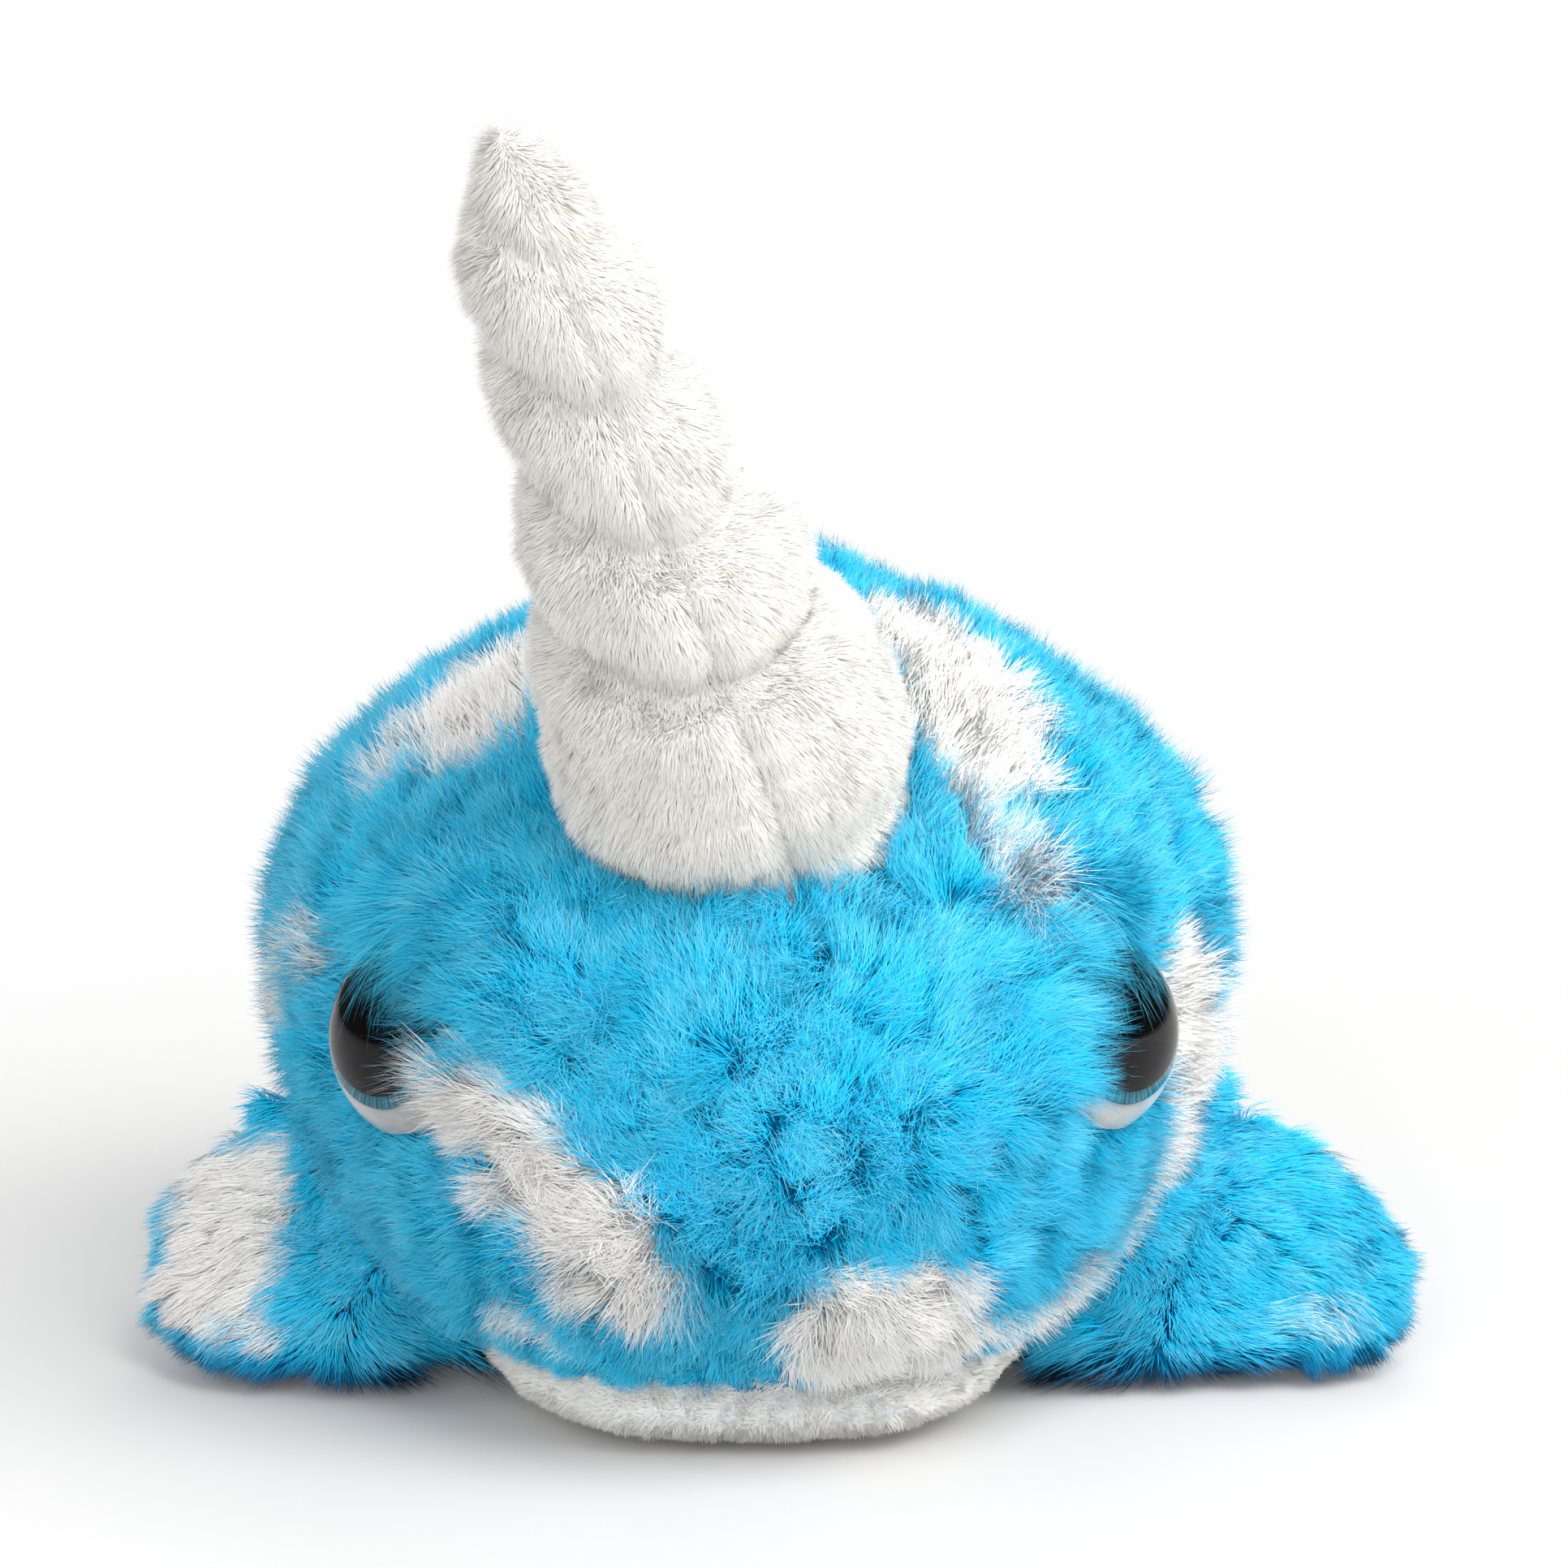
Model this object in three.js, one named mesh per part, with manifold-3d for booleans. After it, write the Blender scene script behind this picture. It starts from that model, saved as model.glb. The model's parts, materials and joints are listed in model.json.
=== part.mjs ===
// Plush narwhal lying on its belly: fur side panels, minky belly, cinched spiral
// tusk, plastic side eyes, two flippers and a pair of tail flukes.
// Millimetres, +Z up. The animal looks along -Y and rests on z = 0; its left is +X.
import * as THREE from 'three';
import { mergeVertices } from 'three/addons/utils/BufferGeometryUtils.js';
import Module from 'manifold-3d';

const wasm = await Module();
wasm.setup();

// Fits and counts
const GAP = 0.3;
const OVERRUN = 12;
const WELD = 0.00001;
const HEAD_STATIONS = 10;
const REAR_STATIONS = 12;
const BODY_RING = 36;
const SEAM_STEPS = 12;
const LIMB_RING = 16;
const LIMB_STATIONS = 11;
const EYE_RING = 18;
const LENS_STEPS = 6;
const LENS_HOLLOW_STEPS = 5;

// Body: a dome-shaped loft from the nose to the tail end
const NOSE_Y = -62;
const TAIL_Y = 118;
const BODY_HALF_WIDTH = 65;
const BACK_HEIGHT = 107;
const NOSE_HEIGHT = 44;
const HEAD_LENGTH = 86;
const FOREHEAD_LENGTH = 85;
const CHIN_LENGTH = 28;
const TAIL_HALF_WIDTH = 13;
const TAIL_TOP = 23;
const TAIL_BOTTOM = 2;
const BELLY_LENGTH = 130;
const FLOOR_DIP = 0.5;
const WIDEST_SHARE = 0.53;
const CROWN_POWER = 1.62;
const BELLY_POWER = 2.35;

// Low mounds in which the long pile of back and flanks gathers
const MOUND_RISE = 1.7;
const MOUND_PITCH = 27;
const MOUNDS_ROUND = 9;
const MOUND_WANDER_SHARE = 0.35;

// Covers: backing and standing pile together
const FUR_COVER = 6;
const MINKY_COVER = 3;
const LIMB_COVER = 4;
const LIMB_FILL_ROOM = 1.1;
const LIMB_FILL_EDGE = 0.5;

// Belly seam, where the fur meets the short-pile panel
const SEAM_FRONT = 8;
const SEAM_RISE = 6;

// Tusk
const TUSK_LENGTH = 94;
const TUSK_BASE_RADIUS = 23.5;
const TUSK_TIP_RADIUS = 8;
const TUSK_WAIST_HEIGHT = 50;
const TUSK_WAIST_LENGTH = 14;
const TUSK_WAIST_DEPTH = 2;
const TUSK_ROOT = 32;
const TUSK_ROOT_TAPER_SHARE = 0.15;
const TUSK_SIDE = -1.6;
const TUSK_ALONG = 31;
const TUSK_SINK = 5.8;
const TUSK_SIDE_LEAN = -19;
const TUSK_FRONT_LEAN = 22;
const TUSK_TIP_SHARE = 0.2;
const TUSK_TIP_POWER = 1.7;
const TUSK_TIP_ROUND = 0.7;
const SPIRAL_PITCH = 18.6;
const SPIRAL_START = 23;
const SPIRAL_LEAD = 7;
const SPIRAL_END_ROOM = 13;
const CINCH_SHARE = 0.2;
const CINCH_POWER = 4.5;
const THREAD_RADIUS = 0.4;
const THREAD_ROOM = 0.8;
const THREAD_STEPS = 18;
const THREAD_SIDES = 5;
const TUSK_RING = 22;
const TUSK_STATIONS = 36;
const TUSK_STATION_POWER = 1.15;
const TUSK_FILL_RING = 16;
const TUSK_FILL_STATIONS = 16;

// Eyes: placed by the distance behind the nose and the height; local z points out
const EYE_ALONG = 26.6;
const EYE_HEIGHT = 51.8;
const EYE_YAW_TURN = 4;
const EYE_PITCH = 8;
const EYE_RADIUS = 12;
const EYE_BACK = 3;
const EYE_CUP = 1.6;
const EYE_DOME = 6.8;
const EYE_LENS_WALL = 0.8;
const IRIS_RADIUS = 9.1;
const IRIS_THICK = 0.5;
const IRIS_UP = 1.3;
const PUPIL_RADIUS = 8.1;
const PUPIL_THICK = 0.5;
const PUPIL_UP = 1.7;
const SHANK_RADIUS = 2.4;
const SHANK_LENGTH = 9;
const WASHER_RADIUS = 7;
const WASHER_THICK = 1.4;
const WASHER_DEPTH = 5.6;

// Flippers: root on the body's flank, with span and chord directions. The right one
// lies folded in closer than the left one.
const FLIPPER_ALONG = 57;
const FLIPPER_ROOT_HEIGHT = 20;
const FLIPPER_STANDOFF = 2.1;
const FLIPPER_SPANS = { left: [0.84, -0.26, -0.5], right: [0.76, -0.22, -0.61] };
const FLIPPER_CHORDS = { left: [-0.53, -0.6, -0.6], right: [-0.38, -0.66, -0.65] };
const FLIPPER_LENGTHS = { left: 35.5, right: 28.5 };
const FLIPPER_TUCK = 9;
const FLIPPER_ROOT_HALF_CHORD = 24;
const FLIPPER_HALF_CHORD = 23;
const FLIPPER_ROOT_HALF_THICK = 2.6;
const FLIPPER_HALF_THICK = 8;
const FLOOR_SPREAD = 5.5;
const FLOOR_SQUASH = 1;
const FLIPPER_WIDE_SHARE = 0.5;
const FLIPPER_TIP_POWER = 2.4;
const FLIPPER_STATION_POWER = 1.4;
const FLIPPER_POWER = 1.9;
const FLIPPER_LIFT = 60;
const FLIPPER_LIFT_STEPS = 3;

// Flukes
const FLUKE_HALF_SPAN = 46;
const FLUKE_HINGE_BACK = 2.4;
const FLUKE_HINGE_ROOM = 3.1;
const FLUKE_CENTRE_CHORD = 30;
const FLUKE_LOBE_CHORD = 31;
const FLUKE_SWEEP = 24;
const FLUKE_ROOT_HALF_WIDTH = 10;
const FLUKE_ROOT_Z = 9;
const FLUKE_DROOP = 3.4;
const FLUKE_LOBE_SHARE = 0.45;
const FLUKE_ROOT_HALF_THICK = 5;
const FLUKE_LOBE_HALF_THICK = 6.4;
const FLUKE_COVER = 2.8;
const FLUKE_SWEEP_POWER = 1.3;
const FLUKE_TIP_POWER = 3;
const FLUKE_TIP_SHARE = 0.995;
const FLUKE_EDGE = 0.12;
const FLUKE_STATIONS = 14;
const FLUKE_STATION_POWER = 0.9;
const FLUKE_SHEET_STEPS = 12;
const FLUKE_RING = 12;

// Materials
const BLUE = 0x35a8dc;
const DEEP_BLUE = 0x1f93cb;
const WHITE = 0xf4f1ea;
const FILLING = 0xf7f7f5;
const EYE_WHITE = 0xf2f4f5;
const TEAL = 0x2c7f93;
const BLACK = 0x0b0b0d;
const CLEAR = 0xdfe6ea;
const WASHER = 0xe8e8e4;

function material(colour, roughness, opacity = 1) {
  return new THREE.MeshStandardMaterial({
    color: colour,
    roughness,
    metalness: 0,
    opacity,
    transparent: opacity < 1,
  });
}

const group = new THREE.Group();

// Solids

function solid(geometry) {
  const plain = geometry.clone();
  plain.deleteAttribute('normal');
  plain.deleteAttribute('uv');
  const merged = mergeVertices(plain, WELD);
  const vertProperties = new Float32Array(merged.attributes.position.array);
  const triVerts = new Uint32Array(merged.index.array);
  return new wasm.Manifold(new wasm.Mesh({ numProp: 3, vertProperties, triVerts }));
}

function addPiece(name, body, look) {
  const mesh = body.getMesh();
  const geometry = new THREE.BufferGeometry();
  const points = new Float32Array(mesh.vertProperties);
  geometry.setAttribute('position', new THREE.BufferAttribute(points, 3));
  geometry.setIndex(new THREE.BufferAttribute(new Uint32Array(mesh.triVerts), 1));
  geometry.computeVertexNormals();
  const piece = new THREE.Mesh(geometry, look);
  piece.name = name;
  group.add(piece);
}

function block(min, max) {
  const size = max.map((value, axis) => value - min[axis]);
  const middle = max.map((value, axis) => (value + min[axis]) / 2);
  const geometry = new THREE.BoxGeometry(...size);
  geometry.translate(...middle);
  return solid(geometry);
}

// A closed skin over rings of equal point counts, each end closed to its middle.
function loft(rings) {
  const count = rings[0].length;
  const points = rings.flat();
  const index = [];
  for (let i = 0; i + 1 < rings.length; i += 1) {
    for (let j = 0; j < count; j += 1) {
      const a = i * count + j;
      const b = i * count + (j + 1) % count;
      index.push(a, b, a + count);
      index.push(b, b + count, a + count);
    }
  }
  const last = (rings.length - 1) * count;
  const start = points.length;
  points.push(middleOf(rings[0]));
  points.push(middleOf(rings[rings.length - 1]));
  for (let j = 0; j < count; j += 1) {
    const k = (j + 1) % count;
    index.push(start, k, j);
    index.push(start + 1, last + j, last + k);
  }
  const geometry = new THREE.BufferGeometry().setFromPoints(points);
  geometry.setIndex(index);
  let body = solid(geometry);
  if (body.volume() < 0) {
    for (let i = 0; i < index.length; i += 3) {
      [index[i], index[i + 1]] = [index[i + 1], index[i]];
    }
    geometry.setIndex(index);
    body = solid(geometry);
  }
  return body;
}

function middleOf(ring) {
  const sum = new THREE.Vector3();
  ring.forEach((point) => sum.add(point));
  return sum.divideScalar(ring.length);
}

function smooth(share) {
  const t = Math.min(Math.max(share, 0), 1);
  return t * t * (3 - 2 * t);
}

function mix(from, to, share) {
  return from + (to - from) * share;
}

// Quarter-oval rise from 0 to 1
function swell(share, power) {
  const t = Math.min(Math.max(share, 0), 1);
  return (1 - (1 - t) ** 2) ** (1 / power);
}

// A soft piece spreads where it meets the floor instead of passing through it.
function settle(z) {
  const floor = -FLOOR_SQUASH;
  if (z >= floor + FLOOR_SPREAD) return z;
  return floor + FLOOR_SPREAD * Math.exp((z - floor) / FLOOR_SPREAD - 1);
}

function oval(cosine, power) {
  return Math.sign(cosine) * Math.abs(cosine) ** (2 / power);
}

// Body

function bodyStation(y, inset) {
  const nose = NOSE_Y + inset;
  const tail = TAIL_Y - inset;
  const along = y - nose;
  const toTail = (length) => smooth((along - length) / (tail - nose - length));
  let half = (BODY_HALF_WIDTH - inset) * swell(along / (HEAD_LENGTH - inset), 2);
  if (along > HEAD_LENGTH - inset) {
    half = mix(BODY_HALF_WIDTH - inset, TAIL_HALF_WIDTH - inset, toTail(HEAD_LENGTH - inset));
  }
  const rise = BACK_HEIGHT - inset - NOSE_HEIGHT;
  let top = NOSE_HEIGHT + rise * swell(along / (FOREHEAD_LENGTH - inset), CROWN_POWER);
  if (along > FOREHEAD_LENGTH - inset) {
    top = mix(BACK_HEIGHT - inset, TAIL_TOP - inset, toTail(FOREHEAD_LENGTH - inset));
  }
  const drop = NOSE_HEIGHT + FLOOR_DIP - inset;
  let bottom = NOSE_HEIGHT - drop * swell(along / (CHIN_LENGTH - inset), 2);
  if (along > BELLY_LENGTH) {
    bottom = mix(inset - FLOOR_DIP, TAIL_BOTTOM + inset, toTail(BELLY_LENGTH));
  }
  return { half, top, bottom, widest: mix(bottom, top, WIDEST_SHARE) };
}

// Half the body's width at a place on its flank
function flankX(y, z, inset = 0) {
  const { half, top, bottom, widest } = bodyStation(y, inset);
  const up = z > widest;
  const power = up ? CROWN_POWER : BELLY_POWER;
  const share = Math.abs(z - widest) / (up ? top - widest : widest - bottom);
  return half * Math.max(1 - share ** power, 0) ** (1 / power);
}

// The flank's own heading there, in radians from straight ahead
function flankYaw(y, z) {
  const step = GAP;
  const slope = (flankX(y + step, z) - flankX(y - step, z)) / (2 * step);
  return Math.PI / 2 - Math.atan(slope);
}

// How far a mound stands up there: 1 on a crest, -1 in a dip, 0 on nose, tail and belly
function mound(y, angle) {
  const along = (y - NOSE_Y) / MOUND_PITCH;
  const wander = along + MOUND_WANDER_SHARE * Math.sin(3 * angle);
  const wave = Math.sin(2 * Math.PI * wander) * Math.cos(MOUNDS_ROUND * angle + Math.PI * along);
  const ends = smooth(along) * smooth((TAIL_Y - y) / MOUND_PITCH);
  return wave * ends * smooth(1 + 2 * Math.sin(angle));
}

function bodyPoint(y, angle, inset) {
  const { half, top, bottom, widest } = bodyStation(y, inset);
  const up = Math.sin(angle) > 0;
  const power = up ? CROWN_POWER : BELLY_POWER;
  const reach = up ? top - widest : widest - bottom;
  const x = half * oval(Math.cos(angle), power);
  return new THREE.Vector3(x, y, widest + reach * oval(Math.sin(angle), power));
}

function bodyRing(y, inset, rise) {
  const ring = [];
  for (let j = 0; j < BODY_RING; j += 1) {
    const angle = j / BODY_RING * 2 * Math.PI;
    ring.push(bodyPoint(y, angle, inset - rise * mound(y, angle)));
  }
  return ring;
}

function bodyLoft(inset, rise = 0) {
  const nose = NOSE_Y + inset;
  const widest = NOSE_Y + HEAD_LENGTH;
  const rings = [];
  for (let i = 1; i <= HEAD_STATIONS; i += 1) {
    const turn = Math.cos(i / HEAD_STATIONS * Math.PI / 2);
    rings.push(bodyRing(mix(widest, nose, turn), inset, rise));
  }
  for (let i = 1; i <= REAR_STATIONS; i += 1) {
    rings.push(bodyRing(mix(widest, TAIL_Y - inset, i / REAR_STATIONS), inset, rise));
  }
  return loft(rings);
}

// Everything under the belly seam, moved up or down by a shift.
function underSeam(shift) {
  const front = NOSE_Y - OVERRUN;
  const back = TAIL_Y + OVERRUN;
  const shape = new THREE.Shape();
  shape.moveTo(front, -OVERRUN);
  shape.lineTo(back, -OVERRUN);
  for (let i = SEAM_STEPS; i >= 0; i -= 1) {
    const share = i / SEAM_STEPS;
    const z = SEAM_FRONT + SEAM_RISE * Math.sin(Math.PI * share) + shift;
    shape.lineTo(mix(front, back, share), z);
  }
  const width = 2 * (BODY_HALF_WIDTH + OVERRUN);
  const geometry = new THREE.ExtrudeGeometry(shape, { depth: width, bevelEnabled: false });
  geometry.translate(0, 0, -width / 2);
  const turn = new THREE.Matrix4().makeBasis(
    new THREE.Vector3(0, 1, 0),
    new THREE.Vector3(0, 0, 1),
    new THREE.Vector3(1, 0, 0),
  );
  geometry.applyMatrix4(turn);
  return solid(geometry);
}

const farSide = BODY_HALF_WIDTH + FLIPPER_LENGTHS.left + FLIPPER_LENGTHS.right;
const farBack = TAIL_Y + FLUKE_CENTRE_CHORD + FLUKE_SWEEP + OVERRUN;
const farTop = BACK_HEIGHT + TUSK_LENGTH + OVERRUN;
const farFront = NOSE_Y - TUSK_LENGTH;
const underFloor = block([-farSide, farFront, -farTop], [farSide, farBack, 0]);

function halfSpace(side) {
  const near = GAP / 2;
  const min = side > 0 ? near : -farSide;
  const max = side > 0 ? farSide : -near;
  return block([min, farFront, -farTop], [max, farBack, farTop]);
}

const bodyOuter = bodyLoft(0, MOUND_RISE).subtract(underFloor);
const bodyClear = bodyLoft(-GAP, MOUND_RISE);

// Eyes

function eyeMatrix(side) {
  const y = NOSE_Y + EYE_ALONG;
  const yaw = flankYaw(y, EYE_HEIGHT) + THREE.MathUtils.degToRad(EYE_YAW_TURN);
  const pitch = THREE.MathUtils.degToRad(EYE_PITCH);
  const out = new THREE.Vector3(
    side * Math.sin(yaw) * Math.cos(pitch),
    -Math.cos(yaw) * Math.cos(pitch),
    Math.sin(pitch),
  );
  const across = new THREE.Vector3(0, 0, 1).cross(out).normalize();
  const up = out.clone().cross(across);
  const matrix = new THREE.Matrix4().makeBasis(across, up, out);
  matrix.setPosition(side * flankX(y, EYE_HEIGHT), y, EYE_HEIGHT);
  return matrix;
}

// A turned solid whose axis is the eye's own z, from [radius, height] pairs.
function turned(profile, up, matrix) {
  const outline = profile.map(([radius, height]) => new THREE.Vector2(radius, height));
  const geometry = new THREE.LatheGeometry(outline, EYE_RING);
  geometry.rotateX(Math.PI / 2);
  geometry.translate(0, up, 0);
  geometry.applyMatrix4(matrix);
  const body = solid(geometry);
  if (body.volume() > 0) return body;
  const back = new THREE.LatheGeometry(outline.reverse(), EYE_RING);
  back.rotateX(Math.PI / 2);
  back.translate(0, up, 0);
  back.applyMatrix4(matrix);
  return solid(back);
}

function drum(radius, from, to, matrix, up = 0) {
  return turned([[0, from], [radius, from], [radius, to], [0, to]], up, matrix);
}

// Points on a spherical cap from its rim to the pole
function capProfile(radius, rim, rise, steps) {
  const ball = (radius * radius + rise * rise) / (2 * rise);
  const sweep = Math.asin(Math.min(radius / ball, 1));
  const points = [];
  for (let i = 0; i <= steps; i += 1) {
    const angle = sweep * (1 - i / steps);
    points.push([ball * Math.sin(angle), rim + rise - ball + ball * Math.cos(angle)]);
  }
  points[steps][0] = 0;
  return points;
}

const eyeRim = EYE_CUP - EYE_BACK;
const irisBase = eyeRim + GAP;
const pupilBase = irisBase + IRIS_THICK + GAP;

function eyeWhite(matrix) {
  const foot = -EYE_BACK;
  const shank = drum(SHANK_RADIUS, foot - SHANK_LENGTH, foot + EYE_CUP / 2, matrix);
  return drum(EYE_RADIUS, foot, eyeRim, matrix).add(shank);
}

function eyeIris(matrix) {
  return drum(IRIS_RADIUS, irisBase, irisBase + IRIS_THICK, matrix, IRIS_UP);
}

function eyePupil(matrix) {
  return drum(PUPIL_RADIUS, pupilBase, pupilBase + PUPIL_THICK, matrix, PUPIL_UP);
}

function eyeLens(matrix) {
  const rim = eyeRim + GAP;
  const outer = [[0, rim], ...capProfile(EYE_RADIUS, rim, EYE_DOME, LENS_STEPS)];
  const room = EYE_RADIUS - EYE_LENS_WALL;
  const rise = EYE_DOME - EYE_LENS_WALL;
  const hollow = capProfile(room, rim, rise, LENS_HOLLOW_STEPS);
  const inner = turned([[0, rim - OVERRUN], [room, rim - OVERRUN], ...hollow], 0, matrix);
  return turned(outer, 0, matrix).subtract(inner);
}

function eyeWasher(matrix) {
  const top = -EYE_BACK - WASHER_DEPTH;
  const ring = drum(WASHER_RADIUS, top - WASHER_THICK, top, matrix);
  const bore = drum(SHANK_RADIUS + GAP, top - OVERRUN, top + OVERRUN, matrix);
  return ring.subtract(bore);
}

function eyePocket(matrix) {
  const floor = -EYE_BACK - GAP;
  const pocket = drum(EYE_RADIUS + GAP, floor, OVERRUN, matrix);
  const hole = drum(SHANK_RADIUS + GAP, floor - SHANK_LENGTH - OVERRUN, OVERRUN, matrix);
  return pocket.add(hole);
}

function washerPocket(matrix) {
  const top = -EYE_BACK - WASHER_DEPTH + GAP;
  const deep = -EYE_BACK - SHANK_LENGTH - GAP;
  const seat = drum(WASHER_RADIUS + GAP, top - WASHER_THICK - 2 * GAP, 0, matrix);
  const hole = drum(SHANK_RADIUS + GAP, deep, 0, matrix);
  return seat.add(hole);
}

// Body pieces

function makeBody() {
  const furHollow = bodyLoft(FUR_COVER);
  const minkyHollow = bodyLoft(MINKY_COVER);
  const furShell = bodyOuter.subtract(furHollow).subtract(underSeam(GAP / 2));
  for (const [name, side] of [['left', 1], ['right', -1]]) {
    const panel = furShell.intersect(halfSpace(side)).subtract(eyePocket(eyeMatrix(side)));
    addPiece(`body_side_${name}`, panel, material(BLUE, 0.95));
  }
  const belly = bodyOuter.subtract(minkyHollow).intersect(underSeam(-GAP / 2));
  addPiece('belly_panel', belly, material(WHITE, 0.9));
  const upper = bodyLoft(FUR_COVER + GAP);
  const lower = bodyLoft(MINKY_COVER + GAP);
  let filling = upper.add(lower.intersect(underSeam(-GAP / 2)));
  for (const side of [1, -1]) {
    filling = filling.subtract(washerPocket(eyeMatrix(side)));
  }
  addPiece('body_stuffing', filling, material(FILLING, 1));
}

function makeEyes() {
  for (const [name, side] of [['left', 1], ['right', -1]]) {
    const matrix = eyeMatrix(side);
    addPiece(`eye_white_${name}`, eyeWhite(matrix), material(EYE_WHITE, 0.15));
    addPiece(`eye_iris_${name}`, eyeIris(matrix), material(TEAL, 0.2));
    addPiece(`eye_pupil_${name}`, eyePupil(matrix), material(BLACK, 0.15));
    addPiece(`eye_lens_${name}`, eyeLens(matrix), material(CLEAR, 0.03, 0.25));
    addPiece(`eye_washer_${name}`, eyeWasher(matrix), material(WASHER, 0.5));
  }
}

// Tusk

const tuskAxis = new THREE.Vector3(
  Math.tan(THREE.MathUtils.degToRad(TUSK_SIDE_LEAN)),
  -Math.tan(THREE.MathUtils.degToRad(TUSK_FRONT_LEAN)),
  1,
).normalize();
const tuskRight = new THREE.Vector3(1, 0, 0).addScaledVector(tuskAxis, -tuskAxis.x).normalize();
const tuskBack = tuskAxis.clone().cross(tuskRight);

const tuskSeatY = NOSE_Y + TUSK_ALONG;
const tuskSeatZ = bodyStation(tuskSeatY, 0).top - TUSK_SINK;

function tuskPoint(height, angle, radius) {
  return new THREE.Vector3(TUSK_SIDE, tuskSeatY, tuskSeatZ)
    .addScaledVector(tuskAxis, height)
    .addScaledVector(tuskRight, radius * Math.cos(angle))
    .addScaledVector(tuskBack, radius * Math.sin(angle));
}

function tuskRadius(height) {
  if (height < 0) return TUSK_BASE_RADIUS + TUSK_ROOT_TAPER_SHARE * height;
  const waist = Math.exp(-(((height - TUSK_WAIST_HEIGHT) / TUSK_WAIST_LENGTH) ** 2));
  const full = mix(TUSK_BASE_RADIUS, TUSK_TIP_RADIUS, height / TUSK_LENGTH);
  return full - TUSK_WAIST_DEPTH * waist;
}

// How far the cinch thread draws the cover in, from 0 between turns to 1 under it
function cinch(height, angle) {
  const turns = (height - SPIRAL_START) / SPIRAL_PITCH + angle / (2 * Math.PI);
  const start = smooth((height - SPIRAL_START) / SPIRAL_LEAD + 1);
  const end = smooth((TUSK_LENGTH - height) / SPIRAL_END_ROOM);
  return start * end * Math.abs(Math.cos(Math.PI * turns)) ** CINCH_POWER;
}

function tuskLoft(stations, count, inset, drawn) {
  const top = TUSK_LENGTH - inset;
  const shoulder = top * (1 - TUSK_TIP_SHARE);
  const rings = [];
  for (let i = 0; i < stations; i += 1) {
    const height = mix(-TUSK_ROOT, top, 1 - (1 - i / stations) ** TUSK_STATION_POWER);
    const over = Math.max(height - shoulder, 0) / (top - shoulder);
    const round = Math.max(1 - over ** TUSK_TIP_POWER, 0) ** TUSK_TIP_ROUND;
    const ring = [];
    for (let j = 0; j < count; j += 1) {
      const angle = j / count * 2 * Math.PI;
      const draw = 1 - CINCH_SHARE * (drawn ? cinch(height, angle) : 0.5);
      const radius = (tuskRadius(height) * draw - inset) * round;
      ring.push(tuskPoint(height, angle, radius));
    }
    rings.push(ring);
  }
  return loft(rings);
}

function cinchThread() {
  const points = [];
  const turns = (TUSK_LENGTH - SPIRAL_END_ROOM - SPIRAL_START) / SPIRAL_PITCH;
  const steps = Math.round(turns * THREAD_STEPS);
  const chordShare = Math.cos(Math.PI / THREAD_STEPS);
  for (let i = 0; i <= steps; i += 1) {
    const turn = i / THREAD_STEPS;
    const height = SPIRAL_START + SPIRAL_PITCH * turn;
    const angle = -turn * 2 * Math.PI;
    const skin = tuskRadius(height) * (1 - CINCH_SHARE * cinch(height, angle));
    const radius = (skin + THREAD_ROOM + THREAD_RADIUS) / chordShare;
    points.push(tuskPoint(height, angle, radius));
  }
  const path = new THREE.CatmullRomCurve3(points);
  const section = new THREE.Shape();
  for (let j = 0; j < THREAD_SIDES; j += 1) {
    const angle = j / THREAD_SIDES * 2 * Math.PI;
    const x = THREAD_RADIUS * Math.cos(angle);
    const y = THREAD_RADIUS * Math.sin(angle);
    if (j === 0) section.moveTo(x, y);
    else section.lineTo(x, y);
  }
  section.closePath();
  return solid(new THREE.ExtrudeGeometry(section, { steps, extrudePath: path }));
}

function makeTusk() {
  const outer = tuskLoft(TUSK_STATIONS, TUSK_RING, 0, true);
  const hollow = tuskLoft(TUSK_FILL_STATIONS, TUSK_FILL_RING, MINKY_COVER, false);
  const filling = tuskLoft(TUSK_FILL_STATIONS, TUSK_FILL_RING, MINKY_COVER + GAP, false);
  addPiece('tusk_cover', outer.subtract(hollow).subtract(bodyClear), material(WHITE, 0.9));
  addPiece('tusk_stuffing', filling.subtract(bodyClear), material(FILLING, 1));
  addPiece('tusk_cinch_thread', cinchThread().subtract(bodyClear), material(WHITE, 0.8));
}

// Flippers

function flipperFrame(name, side) {
  const span = new THREE.Vector3(...FLIPPER_SPANS[name]).normalize();
  const chord = new THREE.Vector3(...FLIPPER_CHORDS[name]);
  chord.addScaledVector(span, -chord.dot(span)).normalize();
  const face = chord.clone().cross(span).normalize();
  const y = NOSE_Y + FLIPPER_ALONG;
  const x = flankX(y, FLIPPER_ROOT_HEIGHT) + FLIPPER_STANDOFF;
  const root = new THREE.Vector3(x, y, FLIPPER_ROOT_HEIGHT);
  for (const vector of [span, chord, face, root]) vector.x *= side;
  return { span, chord, face, root, side, length: FLIPPER_LENGTHS[name] };
}

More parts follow.
